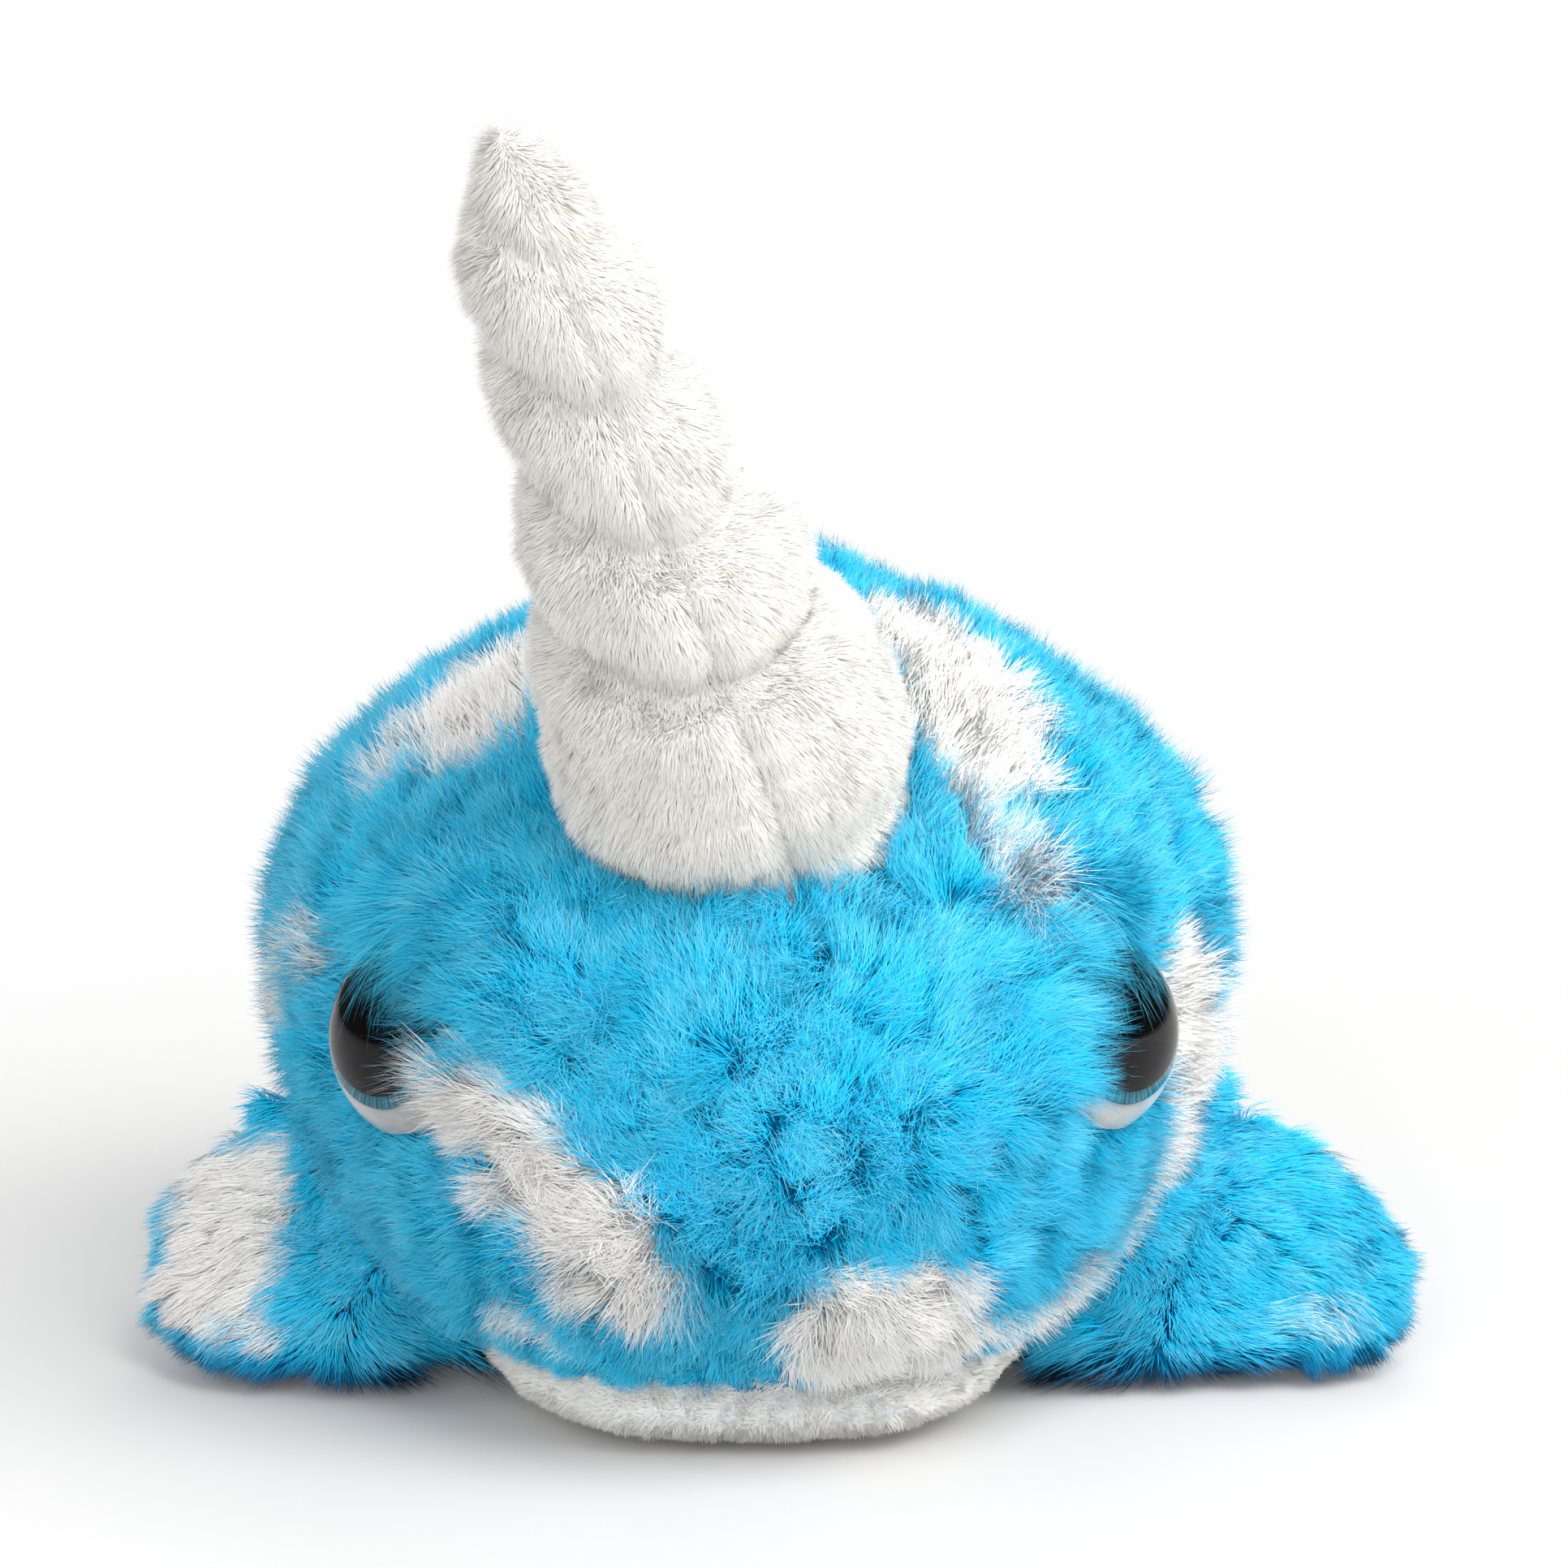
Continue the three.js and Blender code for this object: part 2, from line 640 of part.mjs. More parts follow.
function flipperLoft(frame, inset) {
  const { span, chord, face, root, length } = frame;
  const wide = length * FLIPPER_WIDE_SHARE;
  const puff = FLIPPER_HALF_THICK - FLIPPER_ROOT_HALF_THICK;
  const open = (inset + LIMB_FILL_EDGE - FLIPPER_ROOT_HALF_THICK) / puff;
  const start = inset > 0 ? wide * (1 - Math.sqrt(1 - open)) : -FLIPPER_TUCK;
  const end = length - inset;
  const rings = [];
  for (let i = 0; i < LIMB_STATIONS; i += 1) {
    const reach = mix(start, end, 1 - (1 - i / LIMB_STATIONS) ** FLIPPER_STATION_POWER);
    const grow = 1 - (1 - Math.min(Math.max(reach / wide, 0), 1)) ** 2;
    const over = Math.max(reach - wide, 0) / (end - wide);
    const round = Math.sqrt(Math.max(1 - over ** FLIPPER_TIP_POWER, 0));
    const half = mix(FLIPPER_ROOT_HALF_CHORD, FLIPPER_HALF_CHORD, grow);
    const thick = mix(FLIPPER_ROOT_HALF_THICK, FLIPPER_HALF_THICK, grow);
    const ring = [];
    for (let j = 0; j < LIMB_RING; j += 1) {
      const angle = j / LIMB_RING * 2 * Math.PI;
      const point = root.clone().addScaledVector(span, reach);
      point.addScaledVector(chord, (half - inset) * round * Math.cos(angle));
      const rise = oval(Math.sin(angle), FLIPPER_POWER);
      point.addScaledVector(face, (thick - inset) * round * rise);
      point.z = settle(point.z);
      ring.push(point);
    }
    rings.push(ring);
  }
  return loft(rings);
}

// The half of space above or under the flipper's own middle sheet
function flipperSide(frame, upper) {
  const { span, chord, face, root, length } = frame;
  const far = length + FLIPPER_HALF_CHORD + OVERRUN;
  const size = [2 * far, 2 * far, far];
  const geometry = new THREE.BoxGeometry(...size);
  const sign = upper ? 1 : -1;
  geometry.translate(0, 0, sign * (far / 2 + GAP / 2));
  const across = chord.clone().cross(face).dot(span) > 0 ? chord : chord.clone().negate();
  const out = across.clone().cross(face);
  const matrix = new THREE.Matrix4().makeBasis(out, across.clone().negate(), face);
  if (matrix.determinant() < 0) matrix.makeBasis(out, across, face);
  matrix.setPosition(root);
  geometry.applyMatrix4(matrix);
  return solid(geometry);
}

// The room the body needs while the flipper swings about its sewn root
function flipperSweep(frame) {
  const { chord, root, side } = frame;
  const sweeps = [];
  for (let i = 0; i < FLIPPER_LIFT_STEPS; i += 1) {
    const degrees = -side * FLIPPER_LIFT * i / (FLIPPER_LIFT_STEPS - 1);
    const turn = new THREE.Matrix4().makeTranslation(root.x, root.y, root.z);
    const angle = THREE.MathUtils.degToRad(degrees);
    turn.multiply(new THREE.Matrix4().makeRotationAxis(chord, angle));
    turn.multiply(new THREE.Matrix4().makeTranslation(-root.x, -root.y, -root.z));
    sweeps.push(bodyClear.transform(turn.elements));
  }
  return sweeps;
}

function makeFlippers() {
  for (const [name, side] of [['left', 1], ['right', -1]]) {
    const frame = flipperFrame(name, side);
    const sweeps = flipperSweep(frame);
    const trim = (body) => sweeps.reduce((rest, room) => rest.subtract(room), body);
    const shell = flipperLoft(frame, 0).subtract(flipperLoft(frame, LIMB_COVER));
    const standing = trim(shell.subtract(underFloor));
    const upper = standing.intersect(flipperSide(frame, true));
    const lower = standing.intersect(flipperSide(frame, false));
    addPiece(`flipper_upper_${name}`, upper, material(BLUE, 0.95));
    addPiece(`flipper_lower_${name}`, lower, material(DEEP_BLUE, 0.95));
    const filling = trim(flipperLoft(frame, LIMB_COVER + LIMB_FILL_ROOM));
    addPiece(`flipper_stuffing_${name}`, filling, material(FILLING, 1));
  }
}

// Flukes

function flukeLoft(inset) {
  const rings = [];
  const end = FLUKE_HALF_SPAN - inset;
  for (let i = 0; i <= FLUKE_STATIONS; i += 1) {
    const lean = Math.cos(Math.PI * i / FLUKE_STATIONS);
    const x = -end * FLUKE_TIP_SHARE * Math.sign(lean) * Math.abs(lean) ** FLUKE_STATION_POWER;
    const share = Math.abs(x) / end;
    const lobe = smooth(share / FLUKE_LOBE_SHARE);
    const round = Math.sqrt(1 - share ** FLUKE_TIP_POWER);
    const chord = mix(FLUKE_CENTRE_CHORD, FLUKE_LOBE_CHORD, lobe) * round;
    const half = Math.max(chord / 2 - inset * round, FLUKE_EDGE);
    const thick = mix(FLUKE_ROOT_HALF_THICK, FLUKE_LOBE_HALF_THICK, lobe) * round;
    const swept = Math.max(share - FLUKE_ROOT_HALF_WIDTH / end, 0);
    const root = TAIL_Y + FLUKE_HINGE_ROOM - FLUKE_HINGE_BACK;
    const front = root + FLUKE_SWEEP * swept ** FLUKE_SWEEP_POWER;
    const middle = front + mix(FLUKE_CENTRE_CHORD, FLUKE_LOBE_CHORD, lobe) / 2;
    const z = FLUKE_ROOT_Z - FLUKE_DROOP * lobe;
    const ring = [];
    for (let j = 0; j < FLUKE_RING; j += 1) {
      const angle = j / FLUKE_RING * 2 * Math.PI;
      const y = middle + half * Math.cos(angle);
      const rise = (thick - inset * round) * Math.sin(angle);
      ring.push(new THREE.Vector3(x, y, z + rise));
    }
    rings.push(ring);
  }
  return loft(rings);
}

function makeFlukes() {
  const shell = flukeLoft(0).subtract(flukeLoft(FLUKE_COVER)).subtract(underFloor);
  const split = flukeSheet();
  addPiece('fluke_upper', shell.subtract(split.lower), material(BLUE, 0.95));
  addPiece('fluke_lower', shell.subtract(split.upper), material(DEEP_BLUE, 0.95));
  addPiece('fluke_stuffing', flukeLoft(FLUKE_COVER + GAP), material(FILLING, 1));
}

// The spaces above and under the flukes' drooping middle sheet
function flukeSheet() {
  const build = (sign) => {
    const far = FLUKE_HALF_SPAN + OVERRUN;
    const shape = new THREE.Shape();
    shape.moveTo(-far, FLUKE_ROOT_Z + sign * farTop);
    for (let i = 0; i <= FLUKE_SHEET_STEPS; i += 1) {
      const x = mix(-far, far, i / FLUKE_SHEET_STEPS);
      const lobe = smooth(Math.abs(x) / FLUKE_HALF_SPAN / FLUKE_LOBE_SHARE);
      shape.lineTo(x, FLUKE_ROOT_Z - FLUKE_DROOP * lobe - sign * GAP / 2);
    }
    shape.lineTo(far, FLUKE_ROOT_Z + sign * farTop);
    const depth = farBack - TAIL_Y + OVERRUN;
    const geometry = new THREE.ExtrudeGeometry(shape, { depth, bevelEnabled: false });
    geometry.rotateX(Math.PI / 2);
    geometry.translate(0, farBack, 0);
    return solid(geometry);
  };
  return { upper: build(1), lower: build(-1) };
}

makeBody();
makeEyes();
makeTusk();
makeFlippers();
makeFlukes();

export default group;
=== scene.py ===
import json
import math

import bpy
import numpy as np
from bpy.props import FloatProperty, FloatVectorProperty, IntProperty, PointerProperty
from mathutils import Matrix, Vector, noise


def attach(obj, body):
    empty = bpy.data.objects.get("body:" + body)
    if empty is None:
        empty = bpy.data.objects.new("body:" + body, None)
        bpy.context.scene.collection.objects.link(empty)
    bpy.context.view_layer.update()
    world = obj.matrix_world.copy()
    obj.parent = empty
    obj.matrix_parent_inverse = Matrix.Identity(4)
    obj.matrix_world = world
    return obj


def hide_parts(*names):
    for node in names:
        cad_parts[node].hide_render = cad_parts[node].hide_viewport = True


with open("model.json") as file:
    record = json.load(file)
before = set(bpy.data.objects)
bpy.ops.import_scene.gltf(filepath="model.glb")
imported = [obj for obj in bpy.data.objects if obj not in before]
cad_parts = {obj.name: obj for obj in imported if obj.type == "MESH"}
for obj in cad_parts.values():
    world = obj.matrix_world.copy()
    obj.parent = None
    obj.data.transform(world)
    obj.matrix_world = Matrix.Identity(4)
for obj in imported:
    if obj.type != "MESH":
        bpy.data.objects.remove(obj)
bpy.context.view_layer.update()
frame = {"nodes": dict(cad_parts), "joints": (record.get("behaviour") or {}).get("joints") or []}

bl_info = {
    "name": "Plush narwhal",
    "version": (1, 0, 0),
    "blender": (4, 5, 0),
    "location": "View3D > Sidebar > Narwhal",
    "description": "Makes the skins, pile, tusk, eyes and stage of a lying plush narwhal",
    "category": "Object",
}

SIDES = {"left": 1, "right": -1}
NOISE_SEED = 7
TURN = 2 * np.pi

# The lowest that a stuffed skin and a strand may lie, in metres above the table
BODY_LOWEST, LIMB_LOWEST, LIMB_SKIN_LOWEST, STRAND_LOWEST = 0.0009, 0.0012, 0.0016, 0.0006
# How the skins are woven and filled: grid of the weave, pressure of the filling
BODY_WEAVE, BODY_FILLING = 0.005, 4.0
LIMB_WEAVE, LIMB_FILLING = 0.0026, 3.0
FILLING_STEPS = 20
# The least half thickness of a limb's skin
THINNEST = 0.0012
# The fur is grown in parts: the face ends at the first y, the flank at the second
PARTS_END = (-0.022, 0.038)
# How far in front of an eye and behind it the body's skin belongs to that eye
EYE_REACH = 0.02
# Distances from an eye's axis: no fur inside the first, combed from the third to the second
EYE_BARE, EYE_RIM, EYE_RIM_END = 0.0122, 0.013, 0.021
# The brow rises between the first two of these distances and ends between the last two
BROW = (0.0105, 0.0135, 0.016, 0.028)


# Sizes and colours


def length(name, default, description):
    """One length of the toy, in metres."""
    return FloatProperty(
        name=name, description=description, default=default, subtype="DISTANCE",
        unit="LENGTH", precision=4,
    )


def share(name, default, description):
    """A plain number, mostly from 0 to 1."""
    return FloatProperty(name=name, description=description, default=default, precision=3)


def angle(name, degrees, description):
    return FloatProperty(
        name=name, description=description, default=math.radians(degrees), subtype="ANGLE"
    )


def spot(name, default, description):
    """A point, in metres."""
    return FloatVectorProperty(
        name=name, description=description, default=default, size=3, subtype="XYZ",
        unit="LENGTH", precision=5,
    )


def way(name, default, description):
    return FloatVectorProperty(
        name=name, description=description, default=default, size=3, subtype="DIRECTION"
    )


def shade(name, display, description):
    """A scene-linear colour, from display values of 0 to 255."""
    parts = [value / 255 for value in display]
    default = [v / 12.92 if v <= 0.04045 else ((v + 0.055) / 1.055) ** 2.4 for v in parts]
    return FloatVectorProperty(
        name=name, description=description, default=default, size=3, subtype="COLOR",
        min=0.0, max=1.0,
    )


class NarwhalBody(bpy.types.PropertyGroup):
    """The stuffed body under its fur."""

    nose_y: length("Nose", -0.062, "Front end of the body")
    tail_y: length("Tail", 0.118, "Rear end of the body")
    half_width: length("Half width", 0.065, "Half the width at the cheeks")
    back_height: length("Back", 0.107, "Height of the back")
    nose_height: length("Nose height", 0.044, "Height of the foremost point")
    head: length("Head", 0.086, "From the nose to the widest place")
    forehead: length("Forehead", 0.085, "From the nose to the highest place")
    chin: length("Chin", 0.028, "From the nose to where the belly is flat")
    tail_half: length("Tail half width", 0.013, "Half the width at the tail end")
    tail_top: length("Tail top", 0.023, "Top of the tail end")
    tail_bottom: length("Tail bottom", 0.002, "Underside of the tail end")
    belly: length("Belly", 0.130, "Length of the flat belly")
    floor_dip: length("Floor dip", 0.0005, "How far the round belly passes the flat cut")
    widest: share("Widest", 0.53, "Height share of the widest place of a section")
    crown_power: share("Crown roundness", 1.62, "Section power above the widest place")
    belly_power: share("Belly roundness", 2.6, "Section power below the widest place")
    mound_rise: length("Mound", 0.0017, "How far the fur's low mounds rise and sink")
    mound_pitch: length("Mound pitch", 0.027, "Length of a mound along the body")
    mounds_round: share("Mounds round", 9, "Mounds round a section")
    mound_wander: share("Mound wander", 0.35, "How far the mounds are out of line")
    fur_depth: length("Fur depth", 0.0056, "From the outer size in to the fur backing")
    minky_depth: length("Minky depth", 0.0014, "From the outer size in to the minky")
    tail_skin: length("Tail skin", -0.0008, "From the tail's end in to its backing")
    seam_front: length("Seam front", 0.008, "Height of the belly seam at its ends")
    seam_rise: length("Seam rise", 0.006, "How far the belly seam rises amidships")
    seam_blend: length("Seam blend", 0.004, "Height over which fur and minky depth blend")
    lip: length("Lip", 0.0052, "How far the belly rolls out in front")
    lip_drop: length("Lip drop", 0.0012, "How far that roll sinks")
    brow: length("Brow", 0.0029, "How far the filling swells over an eye's rim")
    seam_overrun: length("Seam overrun", 0.012, "How far the seam's curve runs past the body")


class NarwhalLimbs(bpy.types.PropertyGroup):
    """Flippers and flukes."""

    span_left: way("Left span", (0.84, -0.26, -0.50), "From the left flipper's root to its tip")
    span_right: way("Right span", (-0.76, -0.22, -0.61), "The same for the right flipper")
    flipper_left: length("Left flipper", 0.0355, "From its root to its tip")
    flipper_right: length("Right flipper", 0.0285, "From its root to its tip, folded in")
    tuck: length("Tuck", 0.007, "How far a flipper's skin goes back past its root")
    root_chord: length("Root chord", 0.026, "Half the chord at a flipper's root")
    chord: length("Chord", 0.023, "Half the chord at its widest")
    root_thick: length("Root thickness", 0.0026, "Half the thickness at the root")
    thick: length("Thickness", 0.008, "Half the thickness at its fullest")
    wide_share: share("Fullest place", 0.5, "Where a flipper is widest, as a share")
    edge_power: share("Edge roundness", 1.9, "Section power of flippers and flukes")
    limb_depth: length("Limb depth", 0.0036, "From a limb's outer size in to its backing")
    fluke_depth: share("Fluke depth", 0.75, "The same for the flukes, as a share of that")
    floor_spread: length("Floor spread", 0.0055, "Height under which a limb flattens")
    floor_squash: length("Floor squash", 0.001, "Depth that a limb is pressed by")
    front_reach: length("Front reach", 0.009, "How far the root reaches forward at the table")
    spread_height: length("Spread height", 0.022, "Height over which a flipper leans out")
    spread_low: length("Low spread", 0.0045, "How far its lower part slumps outwards")
    spread_high: length("High spread", 0.0030, "How far its upper part is drawn in")
    half_span: length("Fluke half span", 0.046, "From the middle to a fluke's tip")
    centre_chord: length("Centre chord", 0.030, "Fluke chord in the middle")
    lobe_chord: length("Lobe chord", 0.031, "Fluke chord at its fullest")
    sweep: length("Sweep", 0.024, "How far a fluke sweeps back")
    root_width: length("Fluke root", 0.010, "Half the width of the fluke's root")
    root_fade: length("Fluke root edge", 0.005, "Width over which the sewn root ends")
    root_z: length("Fluke height", 0.009, "Height of the fluke's middle plane at the root")
    droop: length("Droop", 0.0034, "How far the lobes hang lower than the root")
    lobe_share: share("Lobe place", 0.45, "Where the lobes are full, as a share")
    fluke_root_thick: length("Fluke root thickness", 0.005, "Half the thickness there")
    fluke_thick: length("Fluke thickness", 0.0064, "Half the thickness of the lobes")
    fluke_room: length("Fluke room", 0.0007, "Gap between tail and flukes")


class NarwhalTusk(bpy.types.PropertyGroup):
    """The cinched spiral tusk."""

    seat: spot("Seat", (-0.0016, -0.031, 0.08399), "Middle of the tusk's foot")
    side_lean: angle("Side lean", -19.0, "Lean to the side")
    front_lean: angle("Front lean", 22.0, "Lean to the front")
    height: length("Tusk", 0.094, "From the foot to the tip")
    base_radius: length("Base radius", 0.0235, "Radius of the foot, pile included")
    tip_radius: length("Tip radius", 0.008, "Radius near the tip, pile included")
    waist_height: length("Waist height", 0.050, "Where the tusk is slimmer than its taper")
    waist_length: length("Waist length", 0.014, "How far the waist reaches")
    waist_depth: length("Waist depth", 0.002, "How much slimmer it is there")
    root: length("Root", 0.016, "How far the skin goes on under the forehead's fur")
    pitch: length("Spiral pitch", 0.0186, "Rise of the spiral for each turn")
    start: length("Spiral start", 0.023, "Where the thread starts")
    end_room: length("Spiral end", 0.013, "Where the thread stops under the tip")
    seam_turn: angle("Seam turn", -74.0, "Place of the front seam round the tusk")
    dip: length("Seam dip", 0.0052, "How much lower the thread runs at the front seam")
    foot_draw: share("Foot draw", 0.13, "Share by which the sewn foot is narrower")
    foot_length: length("Foot length", 0.005, "Height over which the foot narrows")
    lead: length("Lead", 0.007, "How far under the thread's start the draw sets in")
    draw: share("Draw", 0.20, "Share of the radius that the thread draws in")
    tip_share: share("Round tip", 0.20, "Share of the length that closes the tip")
    pucker: length("Pucker", 0.0042, "Distance between two puckers of the front seam")
    depth: length("Skin depth", 0.0018, "From the outer size in to the backing")
    thread: length("Thread", 0.00045, "Radius of the cinch thread")


class NarwhalEyes(bpy.types.PropertyGroup):
    """The domed plastic eyes."""

    seat: spot("Seat", (0.045631, -0.0354, 0.0518), "Middle of the left eye on the body")
    out: way("Out", (0.79244, -0.59385, 0.13917), "Way that the left eye looks")
    radius: length("Eye", 0.012, "Radius of the cup and the dome")
    back: length("Eye back", 0.003, "How deep the cup's back lies")
    cup: length("Cup", 0.0016, "Thickness of the cup")
    dome: length("Dome", 0.0068, "Rise of the dome over its rim")
    gap: length("Gap", 0.0003, "Room between the eye's parts")
    disc: length("Disc", 0.0005, "Thickness of the iris and pupil discs")
    iris: length("Iris", 0.0091, "Radius of the iris")
    iris_up: length("Iris lift", 0.0013, "How far the iris lies above the middle")
    pupil: length("Pupil", 0.0081, "Radius of the pupil")
    pupil_up: length("Pupil lift", 0.0017, "How far the pupil lies above the middle")
    shank: length("Shank", 0.0024, "Radius of the shank")
    shank_length: length("Shank length", 0.009, "Length of the shank behind the cup")


class NarwhalPile(bpy.types.PropertyGroup):
    """The pile that stands on the skins."""

    fur_length: length("Fur", 0.0080, "Length of the long pile")
    fur_width: length("Fur strand", 0.00027, "Width of a strand of it at its root")
    fur_count: share("Fur count", 6.6e6, "Strands of it on each square metre")
    tuft_room: length("Tuft", 0.0029, "Distance between two tufts of it")
    limb_length: length("Limb fur", 0.0052, "Length of the pile on the limbs")
    limb_count: share("Limb count", 20.0e6, "Strands of it on each square metre")
    nap_length: length("Minky", 0.0032, "Length of the short pile")
    nap_width: length("Minky strand", 0.00021, "Width of a strand of it at its root")
    nap_count: share("Minky count", 21.0e6, "Strands of it on each square metre")
    nap_tuft: length("Minky tuft", 0.0016, "Distance between two tufts of it")
    nap_even: share("Minky evenness", 4.0, "How much its shading follows the skin")
    seed: IntProperty(name="Seed", description="Start of all random choices", default=7)


class NarwhalColours(bpy.types.PropertyGroup):
    """Dyes and plastics, and the painted shade and highlight of the pile."""

    # Painted shade: the blue pile is this darker blue at its roots, deep in the pile.
    deep: shade("Deep blue", (0, 146, 206), "Roots of the blue pile")
    # Painted shade: the pile turns navy near the table, where shade falls under the body and limbs.
    navy: shade("Navy", (0, 88, 158), "Dye that gathered near the table")
    blue: shade("Blue", (0, 193, 240), "The blue dye")
    # The tips are lighter and paler: partly the fibre's frosted colour, partly painted highlight
    # where light shines through them.
    frost: shade("Frosted blue", (150, 229, 247), "Tips of the blue pile")
    white: shade("White", (251, 250, 247), "Undyed pile")
    shadow: shade("Undyed roots", (216, 222, 226), "Roots of the undyed pile")
    minky: shade("Minky white", (254, 253, 247), "Tusk and belly")
    minky_warm: shade("Warm minky", (226, 221, 208), "What single strands of it tend to")
    pupil: shade("Pupil", (6, 6, 7), "Black of the eye")
    iris: shade("Iris", (28, 120, 142), "Teal ring of the eye")
    eye_white: shade("Eye white", (222, 223, 223), "Cup of the eye")
    floor: shade("Floor", (207, 206, 205), "Table under the toy")


class NarwhalStage(bpy.types.PropertyGroup):
    """Camera, light and floor."""

    azimuth: angle("Azimuth", -1.5, "Camera's turn round the toy")
    elevation: angle("Elevation", 12.0, "Camera's height angle")
    distance: length("Distance", 0.65, "From the camera to its target")
    target: spot("Target", (0.0045, 0.0, 0.076), "Point in the middle of the picture")
    lens: share("Lens", 115.06, "Focal length, in millimetres on a 36 mm sensor")
    sky: share("Sky", 0.58, "Strength of the light from all round")
    key: share("Key", 11.0, "Power of the large overhead softbox, in watts")
    fill: share("Fill", 6.3, "Power of the front fill, in watts")
    side: share("Side", 3.5, "Power of the lamps at the sides and behind, in watts")
    floor_size: length("Floor", 6.0, "Half the width of the floor")
    fade_start: length("Fade start", 0.11, "Where the table starts to fade to white")
    fade_end: length("Fade end", 0.27, "Where it is white")


def setting(name):
    """A property group of the scene, by its short name."""
    return getattr(bpy.context.scene, "narwhal_" + name)


# Forms


def smooth(value):
    value = np.clip(value, 0.0, 1.0)
    return value * value * (3.0 - 2.0 * value)


def ramp(value, start, end):
    """0 up to start, 1 from end on, smooth between them."""
    return smooth((value - start) / (end - start))


def mix(start, end, amount):
    return start + (end - start) * amount


def bell(value, width):
    return np.exp(-((value / width) ** 2))


def swell(value, power):
    value = np.clip(value, 0.0, 1.0)
    return (1.0 - (1.0 - value) ** 2) ** (1.0 / power)


def oval(cosine, power):
    return np.sign(cosine) * np.abs(cosine) ** (2.0 / power)


def unit(vectors):
    vectors = np.asarray(vectors, float)
    return vectors / np.maximum(np.linalg.norm(vectors, axis=-1, keepdims=True), 1e-12)


def grid(stations, columns):
    """Each station and each angle of a closed skin."""
    turn = np.linspace(0, TURN, columns, endpoint=False)
    return np.meshgrid(stations, turn, indexing="ij")


def body_station(y, inset):
    """Half width, top, underside and widest height of the body's sections at y."""
    b = setting("body")
    along = y - b.nose_y - inset
    whole = b.tail_y - b.nose_y - 2 * inset
    head, forehead, chin = b.head - inset, b.forehead - inset, b.chin - inset

    def outline(full_from, full_to, at_nose, full, at_tail, power=2.0):
        grown = mix(at_nose, full, swell(along / full_from, power))
        return np.where(along > full_to, mix(full, at_tail, ramp(along, full_to, whole)), grown)

    half = outline(head, head, 0.0, b.half_width - inset, b.tail_half - inset)
    top = outline(forehead, forehead, b.nose_height, b.back_height - inset,
                  b.tail_top - inset, b.crown_power)
    bottom = outline(chin, b.belly, b.nose_height, inset - b.floor_dip, b.tail_bottom + inset)
    return half, top, bottom, mix(bottom, top, b.widest)


def body_ring(y, turn, inset):
    """Points of the body's sections at the stations y and the angles turn."""
    b = setting("body")
    half, top, bottom, widest = body_station(y, inset)
    up = np.sin(turn) > 0
    power = np.where(up, b.crown_power, b.belly_power)
    reach = np.where(up, top - widest, widest - bottom)
    return np.stack(
        [half * oval(np.cos(turn), power), y + 0 * turn,
         widest + reach * oval(np.sin(turn), power)], -1
    )


def mound(y, turn):
    """The fur's low mounds: 1 on a crest, -1 in a dip, 0 on nose, tail and belly."""
    b = setting("body")
    along = (y - b.nose_y) / b.mound_pitch
    drifting = along + b.mound_wander * np.sin(3 * turn)
    wave = np.sin(TURN * drifting) * np.cos(b.mounds_round * turn + np.pi * along)
    ends = smooth(along) * smooth((b.tail_y - y) / b.mound_pitch)
    return wave * ends * smooth(1 + 2 * np.sin(turn))


def seam_height(y):
    """Height of the seam between the fur and the belly panel."""
    b = setting("body")
    front, back = b.nose_y - b.seam_overrun, b.tail_y + b.seam_overrun
    return b.seam_front + b.seam_rise * np.sin(np.pi * (y - front) / (back - front))


def body_surface(rows, columns, shrink):
    """Rows of points on the stuffed body, deeper under the fur than under the minky."""
    b = setting("body")
    deep, shallow = b.fur_depth + shrink, b.minky_depth + shrink
    widest = b.nose_y + b.head
    front = np.cos(np.linspace(0, np.pi / 2, rows // 2 + 1)[:-1])
    y, turn = grid(np.concatenate([
        mix(widest, b.nose_y + deep, front),
        np.linspace(widest, b.tail_y - b.tail_skin - shrink, rows // 2),
    ]), columns)
    outer = body_ring(y, turn, deep - b.mound_rise * mound(y, turn))
    lower = body_ring(y, turn, shallow)
    amount = smooth((seam_height(y) - outer[..., 2]) / b.seam_blend + 0.5)[..., None]
    points = mix(outer, lower, amount)
    points[..., 2] = np.maximum(points[..., 2], shallow * 0.4)
    return points


def joint_of(name):
    """Place and axis of a joint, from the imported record."""
    joint = next(j for j in frame["joints"] if j["name"] == name)
    return np.array(joint["pos_m"], float), np.array(joint["axis"], float)


def limb_frame(side):
    """Root, span, chord and face of a flipper."""
    s = setting("limbs")
    root, axis = joint_of("flipper_%s_flap" % ("left" if side > 0 else "right"))
    span = unit(s.span_left if side > 0 else s.span_right)
    chord = unit(axis) * side
    return root, span, chord, unit(np.cross(chord, span)) * side


def settle(z, inset):
    """A limb spreads where it meets the table."""
    s = setting("limbs")
    floor, spread = inset - s.floor_squash, s.floor_spread
    soft = floor + spread * np.exp(np.minimum((z - floor) / spread - 1, 0))
    return np.maximum(np.where(z >= floor + spread, z, soft), LIMB_SKIN_LOWEST)


